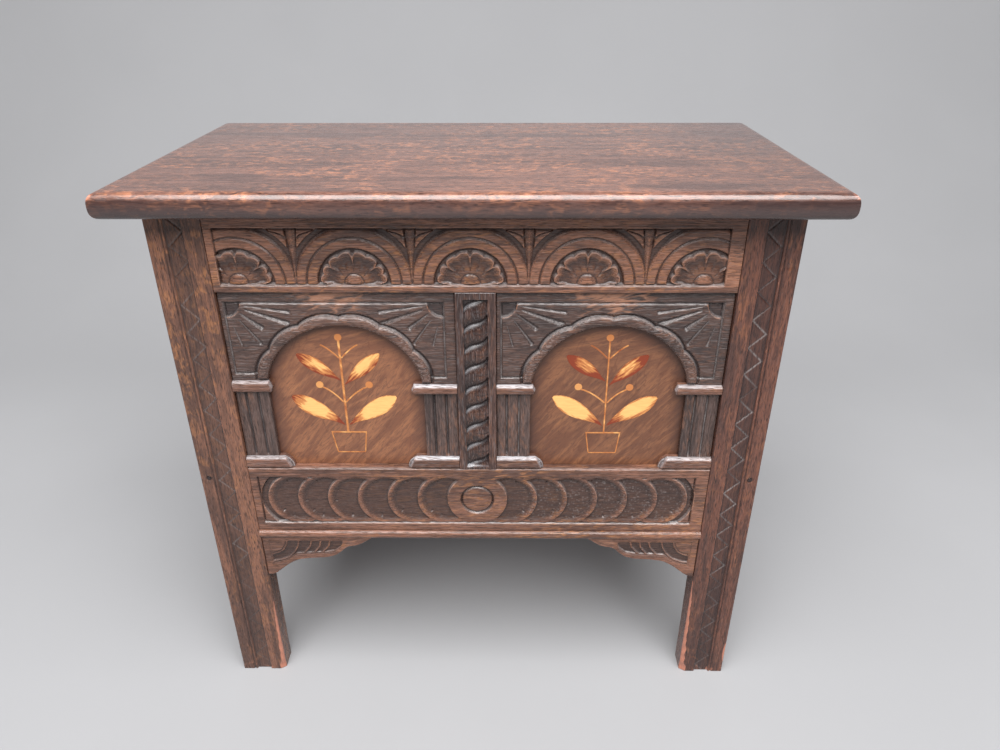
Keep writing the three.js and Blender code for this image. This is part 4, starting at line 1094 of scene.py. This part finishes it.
arch_radius = 68 * mm
arch_width = 68.4 * mm
arch_rise = 66 * mm
arch_low, arch_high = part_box("arch_board_left")
arch_half = (arch_high.x - arch_low.x) / 2
arch_start = math.asin((arch_low.z - arch_centre) / arch_radius)
arch_face = front + 4 * mm
roll_face = front + 1 * mm
roll_depth = 3.8 * mm
roll_lobes, lobe_foot, lobe_rise = 6, 75.4 * mm, 3.3 * mm
corner_radius = 13.4 * mm
left_margin, top_margin, foot_margin = 4 * mm, 10.6 * mm, 6.6 * mm
right_margins = {"left": 9.5 * mm, "right": 8 * mm}
foot_levels = {"left": (arch_low.z + raised["left_outer"][1], arch_low.z),
               "right": (arch_low.z, arch_low.z)}
arch_middles = {word: sum(corner.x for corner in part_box(f"arch_board_{word}")) / 2
                for word in sides}
rays = ((8.5, 16, 56, 1.3), (19.5, 17, 57, 1.9), (38, 15, 39, 2.0), (55, 18, 47, 1.6), (76, 21, 41, 1.1))
ribbed_dark = oak("ribbed_dark", "x", carved_dark, (0.148, 0.078, 0.058), carved_honey,
                  (0.42, 0.2, 0.12), tooth=0.45 * mm, ridge_sheen=0.4)


def lobed_ring(word, x, z):
    """Distance from the middle of the arch, and how far out the lobes of the roll reach there."""
    across, up = (x - arch_middles[word]) / arch_width, (z - arch_centre) / arch_rise
    turn = (np.arctan2(up, across) - arch_start) / (math.pi - 2 * arch_start)
    swell = np.abs(np.sin(roll_lobes * np.pi * np.clip(turn, 0, 1))) ** 0.7
    return arch_radius * np.hypot(across, up), lobe_foot + lobe_rise * swell


def arch_field(word, x, z):
    """Distances from the border line and from the side and top of the field, and foot level."""
    across = x - arch_middles[word]
    foot = np.where(across < 0, *foot_levels[word])
    from_side = np.minimum(across + arch_half - left_margin, arch_half - right_margins[word] - across)
    from_top = arch_high.z - top_margin - z
    border = np.minimum(np.minimum(from_side, from_top), z - foot - foot_margin)
    return border, from_side, from_top, foot


def fan(from_side, from_top):
    """For each ray, the distance from its middle line, its width and where it runs. A ray has
    its slant in degrees, where it starts and ends, and its width in millimetres."""
    corner, slant = np.hypot(from_side, from_top), np.degrees(np.arctan2(from_top, from_side))
    for degree, first, last, width in rays:
        share = np.clip((corner / mm - first) / (last - first), 0, 1)
        runs = rise(corner - first * mm, 2 * mm) * rise(last * mm - corner, 2 * mm)
        runs = runs * (from_side > 0) * (from_top > 0)
        yield corner * np.radians(np.abs(slant - degree)), width * mm * (0.4 + 0.6 * share), runs


def arch_cuts(word):
    def cuts(x, z):
        radius, lobed = lobed_ring(word, x, z)
        border, from_side, from_top, foot = arch_field(word, x, z)
        face = arch_face - roll_face + vee(border, 1.5 * mm, 1.5 * mm)
        quarter = rise(corner_radius - np.hypot(from_side, from_top), 0.9 * mm)
        face += 2.4 * mm * quarter * rise(from_side, 0.5 * mm) * rise(from_top, 0.5 * mm)
        for beside, width, runs in fan(from_side, from_top):
            face += vee(beside, 1.3 * width, 1.6 * width) * runs
        share = np.clip((radius - arch_radius) / (lobed - arch_radius), 0, 1)
        roll = roll_depth * rounding(2 * share - 1)
        roll = np.maximum(roll, 3.5 * mm * (1 - rise(z - foot, 4.5 * mm)))
        valley = 1.8 * mm * rise(lobed + 3 * mm - radius, 2.6 * mm)
        depth = between(face + valley, roll, rise(lobed - radius, 0.9 * mm))
        edge = np.minimum(arch_half - np.abs(x - arch_middles[word]), arch_high.z - z)
        return depth + eased(edge, 0.6 * mm)
    return cuts


def arch_highlight(word):
    """A painted highlight in the rays and along the border line, broken here and there."""
    def highlight_marks(x, z):
        radius, lobed = lobed_ring(word, x, z)
        border, from_side, from_top, _ = arch_field(word, x, z)
        share = 0.8 * np.clip(1.3 - np.abs(border) / (0.8 * mm), 0, 1)
        for beside, width, runs in fan(from_side, from_top):
            share = np.maximum(share, np.clip(1.3 - beside / (0.65 * width), 0, 1) * runs)
        broken = 0.7 + 0.3 * np.sin(x / (5 * mm)) * np.sin(z / (4 * mm) + x / (11 * mm))
        return share * broken * rise(radius - lobed, 1 * mm)
    return highlight_marks


def crown_bare(word):
    """A rubbed patch over the top of the arch."""
    def bare(x, z):
        across = (x - arch_middles[word] + 4 * mm) / (75 * mm)
        return 0.75 * rise(1 - np.hypot(across, (z - arch_high.z) / (50 * mm)), 0.9)
    return bare


quarter_turn = math.atan2(arch_high.z - arch_centre, arch_half)
flank = np.linspace(0, 1, 111)
crown = np.linspace(0, 1, 281)[1:-1]
outward = np.concatenate([np.linspace(0, 0.3, 36), np.linspace(0.3, 1, 70)[1:]])
for word in sides:
    left_foot, right_foot = foot_levels[word]
    right_turn = math.asin((right_foot - arch_centre) / arch_rise)
    left_turn = math.asin((left_foot - arch_centre) / arch_rise)
    angles = np.concatenate([between(right_turn, quarter_turn, flank),
                             between(quarter_turn, math.pi - quarter_turn, crown),
                             math.pi - between(left_turn, quarter_turn, flank)[::-1]])
    outer_x = np.concatenate([np.full(len(flank), arch_half), between(arch_half, -arch_half, crown),
                              np.full(len(flank), -arch_half)])
    outer_z = np.concatenate([between(right_foot, arch_high.z, flank), np.full(len(crown), arch_high.z),
                              between(arch_high.z, left_foot, flank)])
    inner_x, inner_z = arch_width * np.cos(angles), arch_centre + arch_rise * np.sin(angles)
    x = arch_middles[word] + between(inner_x[:, None], outer_x[:, None], outward[None, :])
    z = between(inner_z[:, None], outer_z[:, None], outward[None, :])
    board = carve(f"arch_{word}", x[::-1], z[::-1], roll_face, planted_back, arch_cuts(word),
                  ground=6 * mm, bare=crown_bare(word), highlight_marks=arch_highlight(word))
    belongs(board, ribbed_dark, "carcase", "carved_oak", f"arch_board_{word}")


# Brackets
# Two shaped boards under the bead, each fitted against a leg. The carved field has a row of
# leaning S ribs, and the toe beyond it is plain.

bracket_low, bracket_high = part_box("bracket_left")
outline = np.array([
    (0, 0.2), (8, 2), (16, 9), (24, 15.5), (33, 20.2), (44, 22), (61, 23), (70, 25.5),
    (76, 30), (80, 34.4), (83.5, 37), (91, 38), (97, 40.4), (103, 44.6), (110, 49.4),
]) * mm
field_low = np.array([
    (7, 14.8), (14, 16), (22, 20), (32, 27), (43, 28), (61, 28.8), (70, 30.5), (76, 35.5),
    (78.5, 41), (79, 46),
]) * mm
field_high = 44.6 * mm
field_start, field_end = 6.6 * mm, 79 * mm
bracket_lines = [np.array(line) * mm for line in (
    ((24, 43.5), (23, 39), (19, 32), (13, 28.5), (6, 26.4)),
    ((35.5, 43.5), (34, 37), (30, 29.5), (24, 23.5), (15, 19.5), (6, 17.6)),
    ((48, 43.5), (46, 36.5), (40, 29), (33, 25)),
    ((57, 43.5), (55.5, 37), (50, 29.5)),
    ((66, 43.5), (64.5, 37.5), (58.5, 30.3)),
)]


def from_line(line, reach, height):
    """Distance of each point from a bent line."""
    nearest = np.full_like(reach, 1.0)
    for start, end in zip(line, line[1:]):
        run = end - start
        out, up = reach - start[0], height - start[1]
        share = np.clip((out * run[0] + up * run[1]) / run.dot(run), 0, 1)
        nearest = np.minimum(nearest, np.hypot(out - share * run[0], up - share * run[1]))
    return nearest


for word, side in sides.items():
    low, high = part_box(f"bracket_{word}")
    along = lines(0, high.x - low.x, 0.6 * mm)
    under = np.interp(along, outline[:, 0], outline[:, 1])
    for _ in range(12):
        under[1:-1] = (under[:-2] + under[1:-1] + under[2:]) / 3
    up_share = lines(0, 60 * mm, 0.7 * mm) / (60 * mm)
    reach = np.repeat(along[:, None], len(up_share), axis=1)
    z = low.z + between(under[:, None], high.z - low.z, up_share[None, :])
    x = side * (clear_half - joint_gap - reach)

    def bracket_cuts(x, z):
        reach = clear_half - joint_gap - side * x
        height = z - bracket_low.z
        field = np.minimum.reduce([
            height - np.interp(reach, field_low[:, 0], field_low[:, 1]), field_high - height,
            reach - field_start, field_end - reach,
        ])
        ridge = np.minimum.reduce([from_line(line, reach, height) for line in bracket_lines])
        first = bracket_lines[0]
        above_first = height - np.interp(reach, first[::-1, 0], first[::-1, 1])
        plain = rise(above_first, 0.8 * mm) * (reach < 24 * mm)
        relief = 0.2 * mm + 1.8 * mm * rise(ridge - 0.3 * mm, 2.6 * mm)
        relief = between(relief, 0.25 * mm, plain) + vee(ridge - 1.2 * mm, 1.0 * mm, 0.9 * mm)
        profile = np.interp(reach, along, under)
        edge = np.minimum(np.minimum(height - profile, bracket_high.z - z), reach)
        return relief * rise(field, 2.4 * mm) + vee(field, 0.7 * mm, 0.8 * mm) + eased(edge, 1.2 * mm)

    # Painted light: the toe is lightened towards bare wood, standing for light where the bead's shadow
    # falls on it.
    def toe_painted_light(x, z):
        return 0.6 * rise(clear_half - side * x - 80 * mm, 3 * mm)

    order = slice(None, None, -1) if side > 0 else slice(None)
    bracket = carve(f"bracket_carved_{word}", x[order], z[order], low.y, high.y, bracket_cuts,
                    ground=1.8 * mm, highlight_share=0.45 if side < 0 else 1.0, bare=toe_painted_light)
    belongs(bracket, sill_oak, "carcase", "frame_oak", f"bracket_{word}")


# Hinges
# Two brass butt hinges let into the top back rail and the lid, with steel pins through their
# knuckles and two countersunk screws in each leaf.

def metal(name, colour, rough):
    """Metal dulled by clouds of tarnish and finely rubbed along its length."""
    material = new_finish(name)
    tarnish = cloud(material, (420, 420, 420), 5, distortion=0.5)
    rub = cloud(material, (90, 1400, 1400), 3)
    dull = tuple(0.42 * part for part in colour)
    tone = mixed(material, step(material, tarnish, 0.42, 0.66), colour, dull)
    rough = added(material, step(material, tarnish, 0.35, 0.7, 0.3), rough)
    shader = finished(material, tone, rough, rub, 0.25, 0.05 * mm)
    shader.inputs["Metallic"].default_value = 1.0
    return material


hinge_brass = metal("hinge_brass", (0.5, 0.34, 0.13), 0.28)
pin_steel = metal("pin_steel", (0.36, 0.33, 0.3), 0.35)
hinge_axis = sum(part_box("hinge_pin_left"), Vector()) / 2
knuckles = 5
knuckle_radius = 3 * mm
knuckle_gap = 0.1 * mm
leaf_gap, leaf_thick = 0.15 * mm, 1.5 * mm
shank_radius, shank_length = 1.3 * mm, 11.6 * mm
head_radius, head_height = 2.6 * mm, 1.3 * mm
slot_size = (6 * mm, 0.6 * mm, 1.1 * mm)


def screw(name, x, y, z, up):
    """A countersunk brass screw, its slotted head at z, pointing away from the other leaf."""
    bpy.ops.object.select_all(action="DESELECT")
    bpy.ops.mesh.primitive_cylinder_add(vertices=32, radius=shank_radius, depth=shank_length,
                                        location=(x, y, z + up * 6.9 * mm))
    shank = bpy.context.object
    bpy.ops.mesh.primitive_cone_add(
        vertices=32, radius1=head_radius, radius2=shank_radius, depth=head_height,
        location=(x, y, z + up * 0.75 * mm), rotation=(0 if up > 0 else math.pi, 0, 0))
    head = bpy.context.object
    bpy.ops.mesh.primitive_cube_add(size=1, location=(x, y, z), scale=slot_size)
    slot = bpy.context.object
    bpy.context.view_layer.objects.active = head
    sawn = head.modifiers.new("slot", "BOOLEAN")
    sawn.operation, sawn.object, sawn.solver = "DIFFERENCE", slot, "EXACT"
    bpy.ops.object.modifier_apply(modifier="slot")
    bpy.data.objects.remove(slot)
    piece = joined(name, [head, shank])
    bpy.ops.object.transform_apply(location=True, rotation=True, scale=True)
    bpy.ops.object.shade_smooth_by_angle(angle=math.radians(35))
    return piece


for word in sides:
    pin_low, pin_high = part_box(f"hinge_pin_{word}")
    length = pin_high.x - pin_low.x
    middle = ((pin_low.x + pin_high.x) / 2, hinge_axis.y, hinge_axis.z)
    pin = turned(f"pin_{word}", (pin_high.z - pin_low.z) / 2, length, middle, "x", 32)
    belongs(rimmed(pin, 0.3 * mm), pin_steel, "carcase", "pin_steel", f"hinge_pin_{word}")
    for leaf_word, body, up in (("frame", "carcase", -1), ("lid", "lid", 1)):
        low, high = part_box(f"hinge_{leaf_word}_leaf_{word}")
        near, far = (hinge_axis.z + up * level for level in (leaf_gap, leaf_gap + leaf_thick))
        bottom, top = min(near, far), max(near, far)
        plate_high = Vector((high.x, hinge_axis.y - 3.2 * mm, top))
        parts = [plank("plate", Vector((low.x, low.y, bottom)), plate_high, 0.25 * mm)]
        for index in range(0 if up < 0 else 1, knuckles, 2):
            start = pin_low.x + index * length / knuckles + knuckle_gap
            end = start + length / knuckles - 2 * knuckle_gap
            middle = ((start + end) / 2, hinge_axis.y, hinge_axis.z)
            knuckle = turned("knuckle", knuckle_radius, end - start, middle, "x", 32)
            tongue_low = Vector((start, hinge_axis.y - 3.4 * mm, bottom))
            tongue_high = Vector((end, hinge_axis.y - 2.2 * mm, top))
            parts += [rimmed(knuckle, 0.35 * mm), plank("tongue", tongue_low, tongue_high, 0.1 * mm)]
        belongs(joined(f"hinge_{leaf_word}_{word}", parts), hinge_brass, body, "hinge_brass",
                f"hinge_{leaf_word}_leaf_{word}")
        for index in (1, 2):
            low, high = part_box(f"screw_{leaf_word}_{word}_{index}")
            face = hinge_axis.z + up * 0.3 * mm
            driven = screw(f"screw_brass_{leaf_word}_{word}_{index}", (low.x + high.x) / 2,
                           (low.y + high.y) / 2, face, up)
            belongs(driven, hinge_brass, body, "hinge_brass", f"screw_{leaf_word}_{word}_{index}")


# Lid
# One wide board, round-nosed on its front and both ends and square at the hinged back. The wax
# has worn through to orange along the front arris and at the two front corners.

lid_low, lid_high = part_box("lid_board")
nose_radius = (lid_high.z - lid_low.z) / 2


def nosed(start, end):
    level = abs(start.z - end.z) < 0.1 * mm
    at_front = max(start.y, end.y) < lid_low.y + 1 * mm
    at_end = min(abs(start.x), abs(end.x)) > lid_high.x - 1 * mm and start.x * end.x > 0
    return level and (at_front or at_end)


lid = rounded_block("lid_oak_board", lid_low, lid_high, 0.995 * nose_radius, nosed, segments=12,
                    profile=0.62)
cut_across(lid, "x", np.linspace(-0.94, 0.94, 48) * lid_high.x)
cut_across(lid, "y", [lid_low.y + nose_radius + along * mm for along in (0.5, 2, 4, 8, 16, 40, 100, 160)])
placed = points_of(lid)
from_front = placed[:, 1] - lid_low.y
from_end = lid_high.x - np.abs(placed[:, 0])
upper = rise(placed[:, 2] - lid_low.z - 1.2 * nose_radius, 0.6 * nose_radius)
arris = np.clip(1.2 - np.abs(from_front - 9 * mm) / (5 * mm), 0, 1) * upper
corner = np.clip(1 - np.hypot(from_front - 2 * mm, from_end - 2 * mm) / (13 * mm), 0, 1)
end_arris = rise(8 * mm - from_end, 6 * mm) * upper
set_share(lid, "worn", np.clip(0.42 * arris + 0.5 * corner + 0.3 * end_arris, 0, 1))
bpy.ops.object.shade_smooth_by_angle(angle=smooth_angle)
# Painted shade: the lower part of the front nose is darkened, the right end and a little of the left end
# are darkened as painted shade, and the underside is darker as well.
below = lid_high.z - 4 * mm - placed[:, 2]
nose_painted_shade = 0.7 * np.clip(below / (2.5 * mm), 0, 1) + 0.25 * np.clip((below - 8 * mm) / (6 * mm), 0, 1)
nose_painted_shade = np.where(from_front < nose_radius, nose_painted_shade, 0)
under = 0.4 * (placed[:, 2] < lid_low.z + 1 * mm)
ends = under + 0.45 * rise(placed[:, 0] - 130 * mm, 130 * mm)
ends += 0.2 * rise(-placed[:, 0] - 190 * mm, 80 * mm)
set_share(lid, "stain_and_shade", np.clip(nose_painted_shade + ends, 0, 1))
# Painted reflection: a grey sheen over the top, growing towards the hinged back.
set_share(lid, "painted_highlight", 0.75 * rise(from_front - 60 * mm, 240 * mm))
# Its pale grey tone is the painted reflection over the back of the top.
lid_oak = oak("lid_oak", "x", (0.1, 0.048, 0.038), (0.22, 0.103, 0.075), (0.47, 0.19, 0.1),
              (0.62, 0.245, 0.15), fleck=0.95, tooth=0.03 * mm, highlight_and_wax=(0.17, 0.135, 0.133), broad=2.0)
lid_oak.node_tree.nodes["Principled BSDF"].inputs["IOR"].default_value = 1.65
belongs(lid, lid_oak, "lid", "lid_oak", "lid_board")


# Studio
# A pale floor that runs up into a pale backdrop, and one broad lamp over the front.

floor_size, wall_height, cove_radius = 8, 4, 0.8


def pale(name, colour):
    """Matt paint with a faint mottle."""
    material = new_finish(name)
    mottle = step(material, cloud(material, (3, 3, 3), 3), 0.3, 0.7)
    tone = mixed(material, mottle, colour, tuple(0.97 * part for part in colour))
    shader = material.node_tree.nodes["Principled BSDF"]
    material.node_tree.links.new(tone, shader.inputs["Base Color"])
    shader.inputs["Roughness"].default_value = 0.9
    return material


bpy.ops.object.select_all(action="DESELECT")
bpy.ops.mesh.primitive_plane_add(size=floor_size, location=(0, -2.6, 0))
floor = bpy.context.object
floor.name = "studio_floor"
bpy.ops.object.transform_apply(location=True, rotation=True, scale=True)
for edge in floor.data.edges:
    edge.select = all(floor.data.vertices[v].co.y > 0 for v in edge.vertices)
for corner in floor.data.vertices:
    corner.select = corner.co.y > 0
bpy.ops.object.mode_set(mode="EDIT")
bpy.ops.mesh.select_mode(type="EDGE")
bpy.ops.mesh.extrude_region_move(TRANSFORM_OT_translate={"value": (0, 0, wall_height)})
bpy.ops.object.mode_set(mode="OBJECT")
for edge in floor.data.edges:
    ends = [floor.data.vertices[v].co for v in edge.vertices]
    edge.select = all(end.y > 0 and end.z < mm for end in ends)
bpy.ops.object.mode_set(mode="EDIT")
bpy.ops.mesh.bevel(offset=cove_radius, segments=16, affect="EDGES")
bpy.ops.object.mode_set(mode="OBJECT")
bpy.ops.object.shade_smooth()
floor.data.materials.append(pale("floor_paint", (0.38, 0.38, 0.39)))

world = bpy.data.worlds.new("studio")
world.use_nodes = True
world.node_tree.nodes["Background"].inputs["Color"].default_value = (0.93, 0.96, 1.0, 1)
world.node_tree.nodes["Background"].inputs["Strength"].default_value = 0.33
bpy.context.scene.world = world


def lamp(name, place, aim, size, power):
    data = bpy.data.lights.new(name, "AREA")
    data.shape, data.size, data.size_y, data.energy = "RECTANGLE", size[0], size[1], power
    made = bpy.data.objects.new(name, data)
    bpy.context.collection.objects.link(made)
    made.location = place
    made.rotation_euler = (Vector(aim) - Vector(place)).to_track_quat("-Z", "Y").to_euler()
    return made


lamp("over_front", (0.05, -1.1, 2.15), (0, -0.1, 0.35), (2.4, 2.0), 130)


# Camera
# It stands a little right of the middle of the chest and looks down on it, as in the photograph.

camera = bpy.data.objects.new("camera", bpy.data.cameras.new("camera"))
bpy.context.collection.objects.link(camera)
camera.data.sensor_width = 36
camera.data.lens = 27.016
tilt, yaw, roll = math.radians(90 - 27.903), math.radians(0.6045), math.radians(-0.1363)
turn = Matrix.Rotation(yaw, 4, "Z") @ Matrix.Rotation(tilt, 4, "X") @ Matrix.Rotation(roll, 4, "Z")
camera.matrix_world = Matrix.Translation((0.0262, -0.6930, 0.6633)) @ turn
bpy.context.scene.camera = camera
bpy.context.scene.view_settings.view_transform = "Standard"
